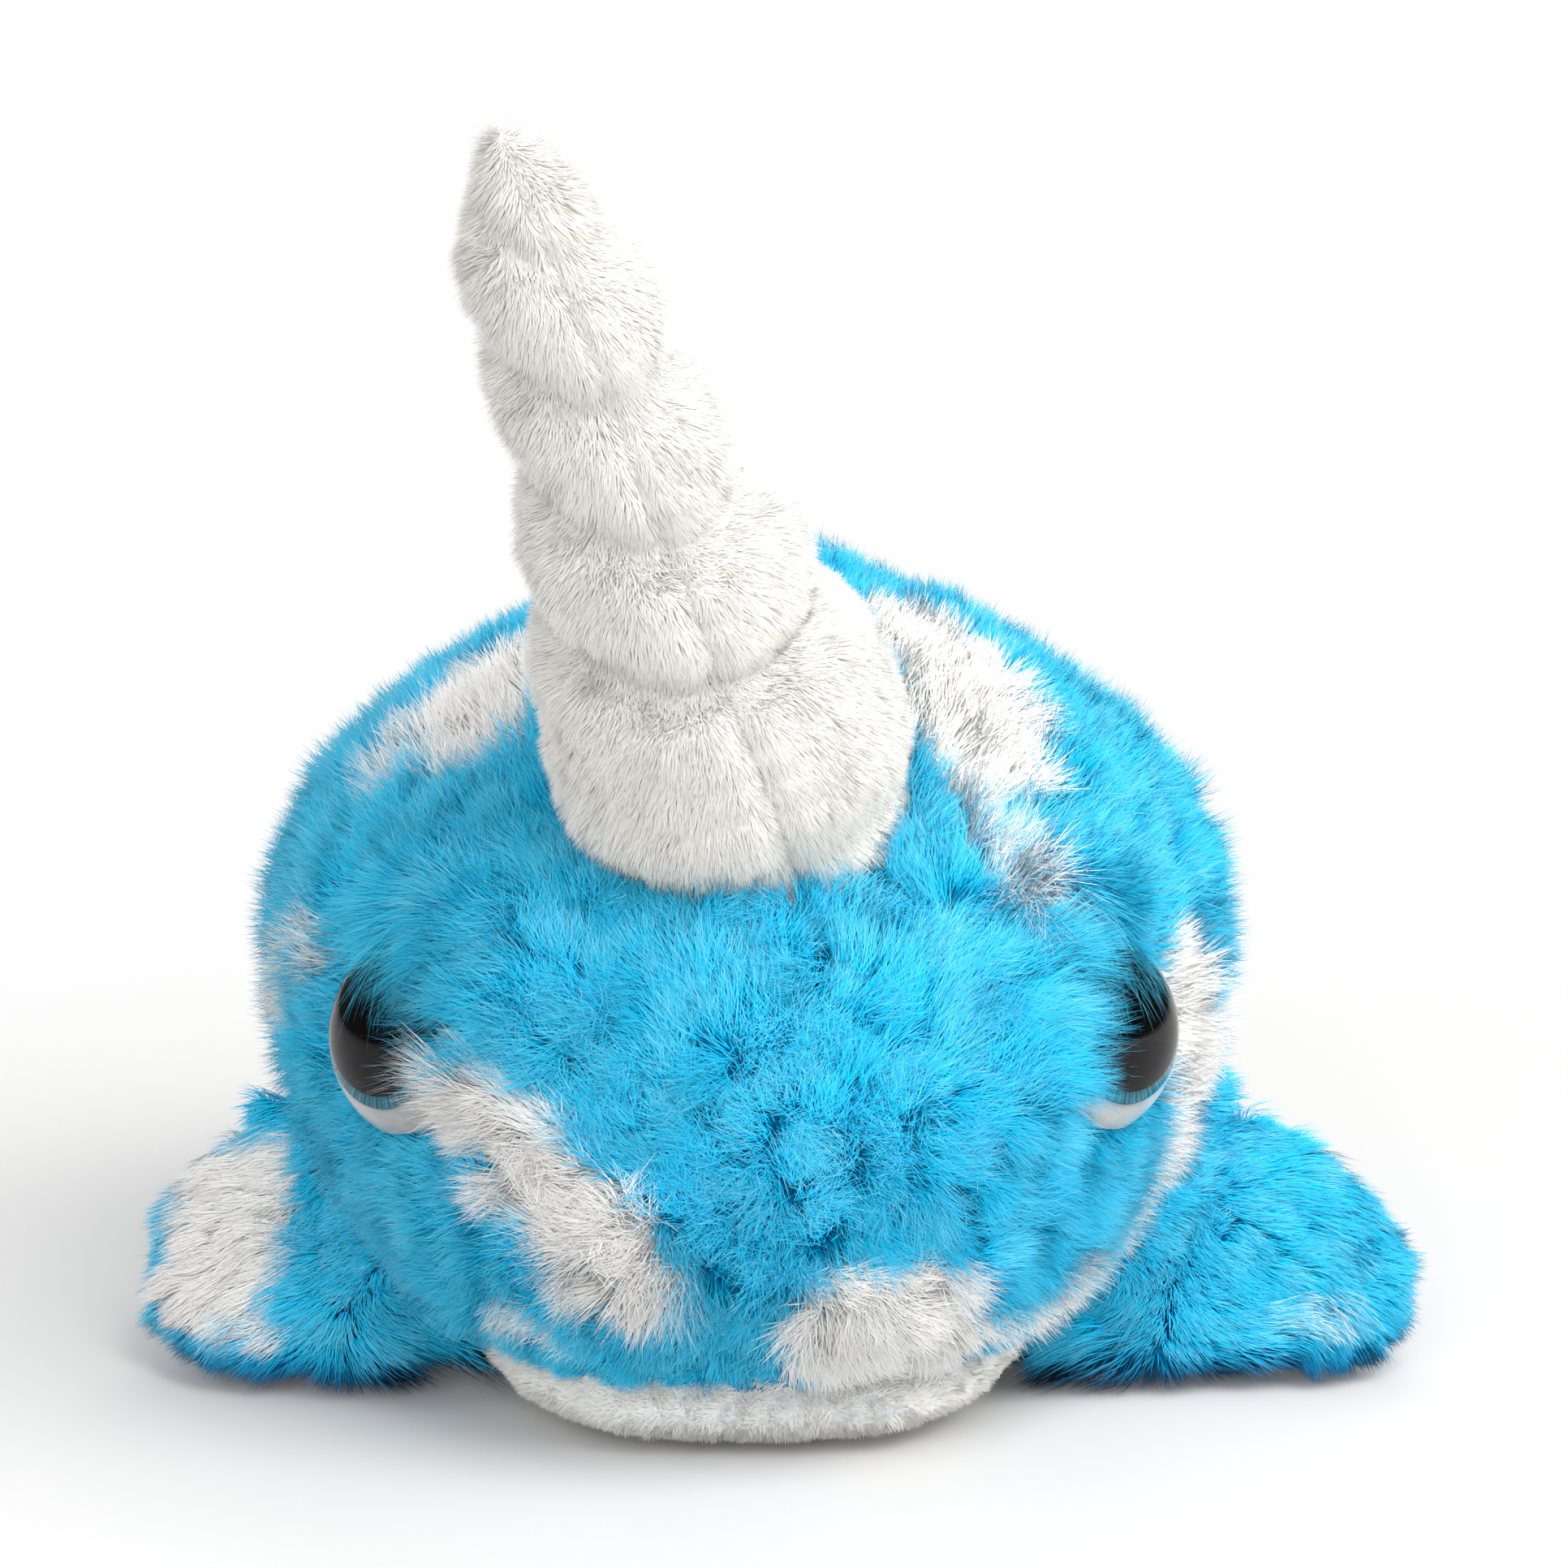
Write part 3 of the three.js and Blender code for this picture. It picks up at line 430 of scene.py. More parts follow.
def flipper_surface(side, rows, columns, shrink):
    s = setting("limbs")
    root, span, chord, face = limb_frame(side)
    inset = s.limb_depth + shrink
    whole = s.flipper_left if side > 0 else s.flipper_right
    end, wide = whole - inset, whole * s.wide_share
    reach, turn = grid(mix(-s.tuck, end, np.sin(np.linspace(0, np.pi / 2, rows))), columns)
    grown = 1 - (1 - np.clip(reach / wide, 0, 1)) ** 2
    over = np.clip((reach - wide) / (end - wide), 0, 1)
    close = np.sqrt(np.maximum(1 - over**2.4, 0))
    half = (mix(s.root_chord, s.chord, grown) - inset) * close
    thick = np.maximum(mix(s.root_thick, s.thick, grown) - inset, THINNEST) * close
    ahead = s.front_reach * smooth(np.cos(turn)) * (1 - smooth(reach / wide))
    points = (
        root + span * reach[..., None]
        + chord * (half * np.cos(turn) + ahead)[..., None]
        + face * (thick * oval(np.sin(turn), s.edge_power))[..., None]
    )
    low = 1 - smooth(points[..., 2] / s.spread_height)
    drawn = s.spread_high * (1 if side > 0 else 2)
    slump = (low * s.spread_low - (1 - low) * drawn) * np.clip(reach / whole, 0, 1)
    points = points + (span * (1, 1, 0)) * slump[..., None]
    points[..., 2] = settle(points[..., 2], inset)
    return points


def fluke_surface(rows, columns, shrink):
    s, b = setting("limbs"), setting("body")
    inset = s.limb_depth * s.fluke_depth + shrink
    end = s.half_span
    x, turn = grid(np.sin(np.linspace(-np.pi / 2, np.pi / 2, rows)) * (end - inset), columns)
    part = np.abs(x) / (end - inset)
    lobe = smooth(part / s.lobe_share)
    close = np.sqrt(np.maximum(1 - part**3, 0))
    chord = mix(s.centre_chord, s.lobe_chord, lobe)
    half = (chord / 2 - inset) * close
    thick = np.maximum(mix(s.fluke_root_thick, s.fluke_thick, lobe) - inset, THINNEST) * close
    swept = s.sweep * np.maximum((np.abs(x) - s.root_width) / end, 0) ** 1.3
    sewn = smooth((s.root_width - np.abs(x)) / s.root_fade + 0.5) * smooth(-np.cos(turn))
    y = b.tail_y + s.fluke_room + swept + chord / 2 + half * np.cos(turn) - inset * sewn
    z = s.root_z - s.droop * lobe + thick * oval(np.sin(turn), s.edge_power)
    return np.stack([x, y, settle(z, inset)], -1)


def tusk_frame():
    """Axis, right and back of the tusk."""
    t = setting("tusk")
    axis = unit([math.tan(t.side_lean), -math.tan(t.front_lean), 1])
    right = unit(np.array([1.0, 0, 0]) - axis * axis[0])
    return axis, right, np.cross(axis, right)


def tusk_point(height, turn, radius):
    axis, right, back = tusk_frame()
    height, turn, radius = (np.asarray(v, float)[..., None] for v in (height, turn, radius))
    return (
        np.array(setting("tusk").seat) + axis * height
        + right * radius * np.cos(turn) + back * radius * np.sin(turn)
    )


def beside_seam(turn):
    """Angle from the tusk's front seam."""
    away = turn - setting("tusk").seam_turn
    return np.arctan2(np.sin(away), np.cos(away))


def seam_dip(turn):
    """How far the thread hangs lower at the front seam, in turns."""
    t = setting("tusk")
    return t.dip / t.pitch * bell(beside_seam(turn), 0.85)


def cinch(height, turn, sharp):
    """How far the thread draws the cover in, from 0 between turns to 1 under it."""
    t = setting("tusk")
    turns = (height - t.start) / t.pitch + turn / TURN + seam_dip(turn)
    fade = smooth((t.height - height) / t.end_room) * smooth((height - t.start) / t.lead + 1)
    return fade * np.abs(np.cos(np.pi * turns)) ** sharp


def tusk_radius(height):
    t = setting("tusk")
    below = t.base_radius + 0.15 * np.minimum(height, 0)
    full = mix(t.base_radius, t.tip_radius, height / t.height)
    waist = t.waist_depth * bell(height - t.waist_height, t.waist_length)
    foot = t.foot_draw * smooth((t.foot_length - height) / t.foot_length / 1.6)
    return np.where(height < 0, below, full - waist) * (1 - foot)


def tusk_skin_radius(height, turn):
    """The tusk's backing: puffs between the turns, and puckers along the front seam."""
    t = setting("tusk")
    top = t.height - t.depth
    shoulder = top * (1 - t.tip_share)
    over = np.clip((height - shoulder) / (top - shoulder), 0, 1)
    close = np.maximum(1 - over**1.7, 0) ** 0.7
    drawn = 1 - t.draw * cinch(height, turn, 4.0)
    seam = beside_seam(turn)
    groove = 0.07 * bell(seam, 0.09)
    reach = bell(seam, 0.42) * smooth(height / 0.006) * smooth((t.height - height) / 0.02)
    gather = 0.016 * np.sin(height / t.pucker * TURN + np.sign(seam) * 1.1)
    return (tusk_radius(height) * drawn * (1 - groove + reach * gather) - t.depth) * close


def tusk_surface(rows, columns):
    t = setting("tusk")
    rise = 1 - (1 - np.linspace(0, 1, rows)) ** 1.15
    height, turn = grid(mix(-t.root, t.height - t.depth, rise), columns)
    return tusk_point(height, turn, tusk_skin_radius(height, turn))


def eye_frame(side):
    """An eye's seat, and its across, up and out."""
    e = setting("eyes")
    out = unit(np.array(e.out) * (side, 1, 1))
    across = unit(np.cross([0, 0, 1], out))
    return np.array(e.seat) * (side, 1, 1), across, np.cross(out, across), out


def round_eye(points, side):
    """Depth at an eye, way and distance from its axis, and how far up and in that way is."""
    middle, _, eye_up, out = eye_frame(side)
    offset = points - middle
    depth = offset @ out
    aside = offset - depth[:, None] * out
    inward = unit(aside) @ (eye_up * 0.85 - np.array([0, 0.8, 0]))
    return depth, aside, np.linalg.norm(aside, axis=1), inward


# Meshes


def link(obj):
    bpy.context.scene.collection.objects.link(obj)
    return obj


def piece_from(name, points, faces, edges=()):
    mesh = bpy.data.meshes.new(name)
    mesh.from_pydata([tuple(p) for p in points], edges, faces)
    mesh.validate()
    mesh.update()
    return link(bpy.data.objects.new(name, mesh))


def skin_from(name, rings):
    """A closed skin over rings of points, each end closed to its middle."""
    rows, columns = rings.shape[:2]
    faces = [
        (i * columns + j, i * columns + k, (i + 1) * columns + k, (i + 1) * columns + j)
        for i in range(rows - 1) for j, k in ((j, (j + 1) % columns) for j in range(columns))
    ]
    points = np.vstack([rings.reshape(-1, 3), rings[0].mean(0), rings[-1].mean(0)])
    last = (rows - 1) * columns
    for j in range(columns):
        k = (j + 1) % columns
        faces.append((len(points) - 2, k, j))
        faces.append((len(points) - 1, last + j, last + k))
    obj = piece_from(name, points, faces)
    outward(obj.data)
    return obj


def outward(mesh):
    """Turns a closed mesh's faces outwards."""
    mesh.calc_loop_triangles()
    corners = np.empty(len(mesh.loop_triangles) * 3, np.int32)
    mesh.loop_triangles.foreach_get("vertices", corners)
    a, b, c = places(mesh)[corners.reshape(-1, 3)].transpose(1, 0, 2)
    if np.einsum("ij,ij->", a, np.cross(b, c)) < 0:
        mesh.flip_normals()


def triples(items, name):
    flat = np.empty(len(items) * 3, np.float32)
    items.foreach_get(name, flat)
    return flat.reshape(-1, 3).astype(float)


def places(mesh):
    return triples(mesh.vertices, "co")


def normals(mesh):
    return triples(mesh.vertex_normals, "vector")


def move_to(mesh, points):
    mesh.vertices.foreach_set("co", np.asarray(points, np.float32).ravel())
    mesh.update()


def shade_smooth(mesh):
    mesh.polygons.foreach_set("use_smooth", np.ones(len(mesh.polygons), bool))
    mesh.update()


def set_down(mesh, lowest):
    """Lifts what went through the table, and shades the skin smooth."""
    points = places(mesh)
    points[:, 2] = np.maximum(points[:, 2], lowest)
    move_to(mesh, points)
    shade_smooth(mesh)
    return points


def store(mesh, name, values):
    """A value or a vector for each vertex."""
    values = np.asarray(values, np.float32)
    kind, field = ("FLOAT_VECTOR", "vector") if values.ndim == 2 else ("FLOAT", "value")
    mesh.attributes.new(name, kind, "POINT").data.foreach_set(field, values.ravel())


def read(mesh, name):
    layer = mesh.attributes[name].data
    flat = np.empty(len(layer), np.float32)
    layer.foreach_get("value", flat)
    return flat


def read_vectors(mesh, name):
    layer = mesh.attributes[name].data
    flat = np.empty(len(layer) * 3, np.float32)
    layer.foreach_get("vector", flat)
    return flat.reshape(-1, 3)


def bake_modifiers(obj):
    """Replaces an object's mesh by its evaluated one and drops the modifiers."""
    graph = bpy.context.evaluated_depsgraph_get()
    mesh = bpy.data.meshes.new_from_object(
        obj.evaluated_get(graph), preserve_all_data_layers=True, depsgraph=graph
    )
    obj.modifiers.clear()
    old = obj.data
    obj.data = mesh
    bpy.data.meshes.remove(old)
    mesh.name = obj.name
    return obj


def wander(points, scale, seed, octaves=2):
    """A smooth random vector at each point, the same in each run."""
    noise.seed_set(NOISE_SEED)
    found = np.empty((len(points), 3))
    shift = Vector((seed * 3.1, seed * 1.7, seed * 5.3))
    for i, point in enumerate(points):
        place = Vector(point) / scale + shift
        value = noise.noise_vector(place)
        if octaves > 1:
            value = value + noise.noise_vector(place * 2.1) * 0.5
        found[i] = value
    return found


def stuff(obj, weave, pressure, most, held):
    """Fills a skin: cloth under pressure, its seams held, no point moving more than most."""
    remesh = obj.modifiers.new("Weave", "REMESH")
    remesh.mode = "VOXEL"
    remesh.voxel_size = weave
    bake_modifiers(obj)
    start = places(obj.data)
    pins = obj.vertex_groups.new(name="held")
    pins.add(np.flatnonzero(held(start)).tolist(), 1.0, "REPLACE")
    cloth = obj.modifiers.new("Filling", "CLOTH")
    cloth.settings.use_pressure = True
    cloth.settings.uniform_pressure_force = pressure
    cloth.settings.effector_weights.gravity = 0
    cloth.settings.vertex_group_mass = "held"
    cloth.settings.quality = 6
    cloth.settings.mass = 0.3
    cloth.settings.tension_stiffness = 20
    cloth.settings.compression_stiffness = 20
    cloth.collision_settings.use_collision = False
    cloth.point_cache.frame_start = 1
    cloth.point_cache.frame_end = FILLING_STEPS
    for step in range(1, FILLING_STEPS + 1):
        bpy.context.scene.frame_set(step)
    bake_modifiers(obj)
    bpy.context.scene.frame_set(1)
    obj.vertex_groups.clear()
    moved = places(obj.data) - start
    far = np.linalg.norm(moved, axis=1, keepdims=True)
    limit = most * np.tanh(far / most)
    move_to(obj.data, start + moved * limit / np.maximum(far, 1e-9))
    finer = obj.modifiers.new("Finer", "SUBSURF")
    finer.levels = finer.render_levels = 1
    return bake_modifiers(obj)


# Dye


# White places that the tied fabric kept: middle, half sizes, turn about the view, strength.
BODY_RESIST = (
    ((-0.0259, -0.054, 0.0363), (0.0195, 0.030, 0.0080), -41, 1.0),
    ((-0.0390, -0.040, 0.0470), (0.0075, 0.020, 0.0036), -38, 0.9),
    ((-0.0280, -0.050, 0.0165), (0.0065, 0.020, 0.0024), -25, 0.6),
    ((0.0153, -0.055, 0.0176), (0.0132, 0.030, 0.0108), 0, 1.0),
    ((0.0360, -0.045, 0.0170), (0.0130, 0.024, 0.0034), 20, 0.8),
    ((0.0560, -0.0160, 0.0520), (0.0060, 0.012, 0.0085), -20, 1.0),
    ((0.0590, -0.0120, 0.0400), (0.0062, 0.014, 0.0120), 0, 1.0),
    ((0.0575, -0.0130, 0.0275), (0.0060, 0.014, 0.0095), 14, 1.0),
    ((0.0530, -0.0170, 0.0190), (0.0060, 0.014, 0.0060), 30, 1.0),
    ((0.0460, -0.0230, 0.0140), (0.0065, 0.014, 0.0042), 30, 0.9),
    ((0.0291, -0.0159, 0.0883), (0.0100, 0.018, 0.0110), -20, 1.0),
    ((0.0237, -0.0010, 0.0960), (0.0105, 0.014, 0.0070), -20, 0.9),
    ((0.0332, -0.0319, 0.0730), (0.0080, 0.016, 0.0042), -35, 0.55),
    ((-0.0347, -0.0052, 0.0886), (0.0120, 0.016, 0.0072), 38, 0.85),
    ((-0.0465, -0.0006, 0.0813), (0.0065, 0.012, 0.0040), 45, 0.6),
    ((-0.0576, -0.0130, 0.0564), (0.0036, 0.010, 0.0055), 0, 0.6),
    ((-0.0620, 0.0029, 0.0481), (0.0042, 0.010, 0.0080), 0, 0.7),
)
LIMB_RESIST = (
    ((-0.0675, -0.0110, 0.0215), (0.0086, 0.030, 0.0106), -12, 0.85),
    ((-0.0735, -0.0150, 0.0125), (0.0060, 0.020, 0.0050), 0, 0.9),
    ((-0.0633, -0.0199, 0.0105), (0.0050, 0.014, 0.0035), 0, 0.6),
    ((0.0725, -0.0189, 0.0107), (0.0070, 0.014, 0.0040), 0, 0.4),
)


def undyed(points, seed, patches):
    """How much of the white cloth shows at each point: 0 is full blue."""
    ragged = wander(points, 0.009, seed)
    broad = wander(points, 0.034, seed + 5)
    found = np.zeros(len(points))
    for middle, half, turn, strength in patches:
        x, y, z = (points + ragged * 0.0026 - np.array(middle)).T
        c, s = math.cos(math.radians(turn)), math.sin(math.radians(turn))
        sizes = ((c * x + s * z) / half[0], y / half[1], (c * z - s * x) / half[2])
        reach = np.sqrt(sum(size**2 for size in sizes))
        found = np.maximum(found, strength * smooth((1.3 - reach) / 0.55))
    behind = ramp(points[:, 1], 0.012, 0.042)
    return np.maximum(found, smooth(broad[:, 0] * 3.9 + 0.17) * behind)


# Nodes


class Wire:
    """A node's output, so that what nodes calculate reads as plain arithmetic."""

    def __init__(self, tree, socket):
        self.tree, self.socket = tree, socket
        self.wide = socket.type == "VECTOR"

    def calculate(self, operation, *values, first=False, output=0):
        """A Math node, or a Vector Math node where this is a vector."""
        kind = "ShaderNodeVectorMath" if self.wide else "ShaderNodeMath"
        values = (*values, self) if first else (self, *values)
        slots = (0, 3) if operation == "SCALE" else range(len(values))
        node = add(self.tree, kind, dict(zip(slots, values)), operation=operation)
        return Wire(self.tree, node.outputs[output])

    def __add__(self, other):
        return self.calculate("ADD", other)

    def __sub__(self, other):
        return self.calculate("SUBTRACT", other)

    def __rsub__(self, other):
        return self.calculate("SUBTRACT", other, first=True)

    def __mul__(self, other):
        return self.calculate("SCALE" if self.wide else "MULTIPLY", other)

    def __pow__(self, power):
        return self.calculate("POWER", power)

    def dot(self, other):
        return self.calculate("DOT_PRODUCT", other, output="Value")

    def cross(self, other):
        return self.calculate("CROSS_PRODUCT", other)

    def unit(self):
        return self.calculate("NORMALIZE")

    __radd__, __rmul__ = __add__, __mul__


def add(tree, kind, inputs=(), **settings):
    """A node with its settings, and its live inputs filled by name or place."""
    node = tree.nodes.new(kind)
    for key, value in settings.items():
        setattr(node, key, value)
    live = {socket.name: socket for socket in node.inputs if socket.enabled}
    for key, value in dict(inputs).items():
        socket = node.inputs[key] if isinstance(key, int) else live[key]
        if isinstance(value, Wire):
            tree.links.new(value.socket, socket)
        elif socket.type == "RGBA":
            socket.default_value = (*value, 1.0)
        else:
            socket.default_value = value
    return node


def flow(tree, kind, inputs=(), output=None, **settings):
    """A new node's named output, or else its first live one."""
    node = add(tree, kind, inputs, **settings)
    live = [socket for socket in node.outputs if socket.enabled]
    return Wire(tree, node.outputs[output] if output else live[0])


def blended(tree, amount, first, second, kind="RGBA"):
    return flow(tree, "ShaderNodeMix", {"Factor": amount, "A": first, "B": second},
                data_type=kind)


def fresh_tree(name, inputs):
    """A modifier's empty tree, and its inputs by name."""
    tree = bpy.data.node_groups.new(name, "GeometryNodeTree")
    tree.is_modifier = True
    for label, kind, default in inputs:
        socket = tree.interface.new_socket(
            label, in_out="INPUT", socket_type="NodeSocket" + kind
        )
        if default is not None:
            socket.default_value = default
    tree.interface.new_socket("Made", in_out="OUTPUT", socket_type="NodeSocketGeometry")
    given = tree.nodes.new("NodeGroupInput").outputs
    return tree, {socket.name: Wire(tree, socket) for socket in given if socket.name}


def close_tree(tree, geometry, material):
    """Ends a tree in Realize Instances and Set Material."""
    real = flow(tree, "GeometryNodeRealizeInstances", {"Geometry": geometry})
    done = flow(tree, "GeometryNodeSetMaterial", {"Geometry": real, "Material": material})
    add(tree, "NodeGroupOutput", {"Made": done})
    return tree


def run_tree(obj, tree, **values):
    """Runs a tree on an object, which keeps the result as its plain mesh."""
    modifier = obj.modifiers.new(tree.name, "NODES")
    modifier.node_group = tree
    for item in tree.interface.items_tree:
        key = item.name.lower().replace(" ", "_")
        if item.item_type == "SOCKET" and item.in_out == "INPUT" and key in values:
            modifier[item.identifier] = values[key]
    return bake_modifiers(obj)


# Pile


STRAND_INPUTS = (
    ("Skin", "Geometry", None),
    ("Count", "Float", 5e6),
    ("Tuft Room", "Float", 0.0034),
    ("Length", "Float", 0.008),
    ("Length Spread", "Float", 0.22),
    ("Width", "Float", 0.00035),
    ("Lean", "Float", 0.6),
    ("Splay", "Float", 0.62),
    ("Frizz", "Float", 0.45),
    ("Gather", "Float", 0.26),
    ("Evenness", "Float", 0.8),
    ("Bends", "Int", 2),
    ("Zone", "Int", 0),
    ("Seed", "Int", 7),
    ("Material", "Material", None),
)


def strand_tree():
    """Pile on a skin: strands that lean, gather into tufts and taper to a point."""
    found = bpy.data.node_groups.get("strand_pile")
    if found:
        return found
    tree, given = fresh_tree("strand_pile", STRAND_INPUTS)

    def named(name, kind="FLOAT"):
        return flow(tree, "GeometryNodeInputNamedAttribute", {"Name": name}, "Attribute",
                    data_type=kind)

    def vector(name):
        return named(name, "FLOAT_VECTOR")

    def keep(geometry, name, value, kind="FLOAT"):
        return flow(tree, "GeometryNodeStoreNamedAttribute",
                    {"Geometry": geometry, "Name": name, "Value": value},
                    data_type=kind, domain="POINT")

    def chance(low, high, shift, index=None, kind="FLOAT"):
        inputs = {"Min": low, "Max": high, "Seed": given["Seed"] + float(shift)}
        if index is not None:
            inputs["ID"] = index
        return flow(tree, "FunctionNodeRandomValue", inputs, data_type=kind)

    def scatter(method, **inputs):
        inputs = {key.replace("_", " "): value for key, value in inputs.items()}
        return flow(tree, "GeometryNodeDistributePointsOnFaces",
                    {"Mesh": given["Skin"], **inputs}, "Points", distribute_method=method)

    # Tufts: one centre each, the same for all zones of a skin
    tufts = scatter("POISSON", Distance_Min=given["Tuft Room"], Density_Max=4.0e5,
                    Seed=given["Seed"])
    # Roots: where a strand stands
    in_zone = flow(tree, "FunctionNodeCompare", {"A": named("zone", "INT"), "B": given["Zone"]},
                   data_type="INT", operation="EQUAL")
    points = scatter("RANDOM", Selection=in_zone, Density=given["Count"] * named("cover"),
                     Seed=given["Seed"] + 1.0)

    place = flow(tree, "GeometryNodeInputPosition")
    tuft = flow(tree, "GeometryNodeSampleNearest", {"Geometry": tufts}, domain="POINT")

    def of_tuft(value, kind):
        return flow(tree, "GeometryNodeSampleIndex",
                    {"Geometry": tufts, "Value": value, "Index": tuft},
                    data_type=kind, domain="POINT")

    up, comb = vector("stand"), vector("comb")

    def astray(shift, index=None):
        """A random way along the skin."""
        free = chance((-1, -1, -1), (1, 1, 1), shift, index, "FLOAT_VECTOR")
        return free - up * free.dot(up)

    tilt, own = astray(11, tuft), astray(23)
    shared = comb * given["Lean"] + tilt * given["Splay"]
    heading = (up + (shared + own * given["Frizz"])).unit()
    tuft_way = (up + shared).unit()
    spread = given["Length Spread"] * chance(-1.0, 0.6, 37)
    size = given["Length"] * (spread + 1.0) * chance(0.82, 1.18, 31, tuft) * named("pile")
    pull = given["Gather"] * chance(0.35, 1.0, 41)
    tuft_tip = of_tuft(place, "FLOAT_VECTOR") + tuft_way * size
    tip = blended(tree, pull, place + heading * size, tuft_tip, "VECTOR")
    stem = tip - place
    middle = place + (up * (size * 0.46) + stem * 0.16)
    aside = stem.cross(stem.cross(up).unit() + own * 0.55).cross(stem).unit()
    puff = (up * given["Evenness"] + tuft_way).unit()
    dye = blended(tree, 0.6, named("undyed"), of_tuft(named("undyed"), "FLOAT"), "FLOAT")
    for name, value in (("root", place), ("bend", middle), ("tip", tip), ("aside", aside),
                        ("puff", puff)):
        points = keep(points, name, value, "FLOAT_VECTOR")
    for name, value in (("undyed", dye), ("tint", chance(0.0, 1.0, 53)),
                        ("tuft_tint", chance(0.0, 1.0, 59, tuft))):
        points = keep(points, name, value)

    # One strand: a strip of quads that closes to a point
    strip = flow(tree, "GeometryNodeMeshGrid", {"Size X": 1.0, "Size Y": 1.0, "Vertices X": 2,
                                                "Vertices Y": given["Bends"] + 2.0})
    across, along = (flow(tree, "ShaderNodeSeparateXYZ", {0: place}, axis) for axis in "XY")
    blade = keep(keep(strip, "height", along + 0.5), "side", across * 2.0)
    narrow = 1.0 - named("height") ** 8.0
    closed = flow(tree, "ShaderNodeCombineXYZ", {"X": across * narrow, "Y": along})
    shaped = flow(tree, "GeometryNodeSetPosition", {"Geometry": blade, "Position": closed})
    merged = flow(tree, "GeometryNodeMergeByDistance", {"Geometry": shaped, "Distance": 0.001})
    copies = flow(tree, "GeometryNodeInstanceOnPoints", {"Points": points, "Instance": merged})
    real = flow(tree, "GeometryNodeRealizeInstances", {"Geometry": copies})

    # Each strand bends from its root over its middle to its tip, and narrows on the way
    h = named("height")
    rest = 1.0 - h
    curve = (vector("root") * (rest * rest) + vector("bend") * (rest * h * 2.0)
             + vector("tip") * (h * h))
    wide = given["Width"] * 0.5 * (1.0 - h**1.5 * 0.85)
    geometry = flow(tree, "GeometryNodeSetPosition", {
        "Geometry": real, "Position": curve + vector("aside") * (named("side") * wide),
    })
    for name in ("bend", "tip", "aside", "cover", "pile", "comb", "stand", "zone"):
        geometry = flow(tree, "GeometryNodeRemoveAttribute",
                        {"Geometry": geometry, "Name": name})
    soft = flow(tree, "GeometryNodeSetShadeSmooth", {"Geometry": geometry})
    return close_tree(tree, soft, given["Material"])


def grow(skin, name, material, **inputs):
    """Pile on one zone of a skin, as a plain mesh with its own bake map."""
    piece = link(bpy.data.objects.new(name, skin.data.copy()))
    mesh = run_tree(piece, strand_tree(), material=material, **inputs).data
    points = places(mesh)
    sunk = points[:, 2] < STRAND_LOWEST
    below = points[sunk, 2] - STRAND_LOWEST
    points[sunk, 2] = STRAND_LOWEST * np.exp(below / 0.004) + 0.0001
    move_to(mesh, points)
    lay_bake_map(mesh)
    shade_smooth(mesh)
    mesh.normals_split_custom_set_from_vertices(unit(read_vectors(mesh, "puff")))
    return piece


def spread_bits(values):
    """Each bit of 10-bit numbers moved to every third place."""
    values = values.astype(np.int64) & 0x3FF
    for shift, mask in ((16, 0x30000FF), (8, 0x300F00F), (4, 0x30C30C3), (2, 0x9249249)):
        values = (values | (values << shift)) & mask
    return values


def lay_bake_map(mesh, cells=48, margin=0.08):
    """Neighbouring strands share a cell of the map: across its width, and up its height."""
    root, height, side = read_vectors(mesh, "root"), read(mesh, "height"), read(mesh, "side")
    low, high = root.min(0), root.max(0)
    steps = np.clip((root - low) / np.maximum((high - low).max(), 1e-9) * 1023, 0, 1023)
    order = sum(spread_bits(steps[:, axis]) << axis for axis in range(3))
    rank = np.empty(len(root))
    rank[np.argsort(order, kind="stable")] = np.linspace(0, cells * cells - 1e-3, len(root))
    # All points of one strand take the rank of its root's place
    keys, where = np.unique(order, return_inverse=True)
    least = np.full(len(keys), np.inf)
    np.minimum.at(least, where.ravel(), rank)
    cell = least[where.ravel()].astype(int)
    u = (cell % cells + 0.5 + (0.5 - margin) * side) / cells
    v = (cell // cells + margin + (1 - 2 * margin) * height) / cells
    corner = np.empty(len(mesh.loops), np.int32)
    mesh.loops.foreach_get("vertex_index", corner)
    layer = mesh.uv_layers.new(name="OFBake")
    layer.data.foreach_set("uv", np.stack([u[corner], v[corner]], 1).astype(np.float32).ravel())


# Materials


def new_material(name, shader):
    """A new material; shader fills its tree and returns the inputs of its surface."""
    material = bpy.data.materials.new(name)
    material.use_nodes = True
    tree = material.node_tree
    tree.nodes.clear()
    surface = flow(tree, "ShaderNodeBsdfPrincipled", shader(tree))
    add(tree, "ShaderNodeOutputMaterial", {"Surface": surface})
    return material


def attribute(tree, name, output="Fac"):
    return flow(tree, "ShaderNodeAttribute", (), output, attribute_name=name)


def object_place(tree):
    return flow(tree, "ShaderNodeTexCoord", (), "Object")


def ranged(tree, value, low, high, start=0.0, end=1.0):
    return flow(tree, "ShaderNodeMapRange", {
        "Value": value, "From Min": low, "From Max": high, "To Min": start, "To Max": end,
    }, interpolation_type="SMOOTHSTEP")


def grain(tree, scale, detail, roughness=0.5):
    return flow(tree, "ShaderNodeTexNoise", {
        "Vector": object_place(tree), "Scale": scale, "Detail": detail, "Roughness": roughness,
    }, "Fac")


def times(colour, factor, lift=0.0):
    return tuple(min(v * factor + lift, 1.0) for v in colour)


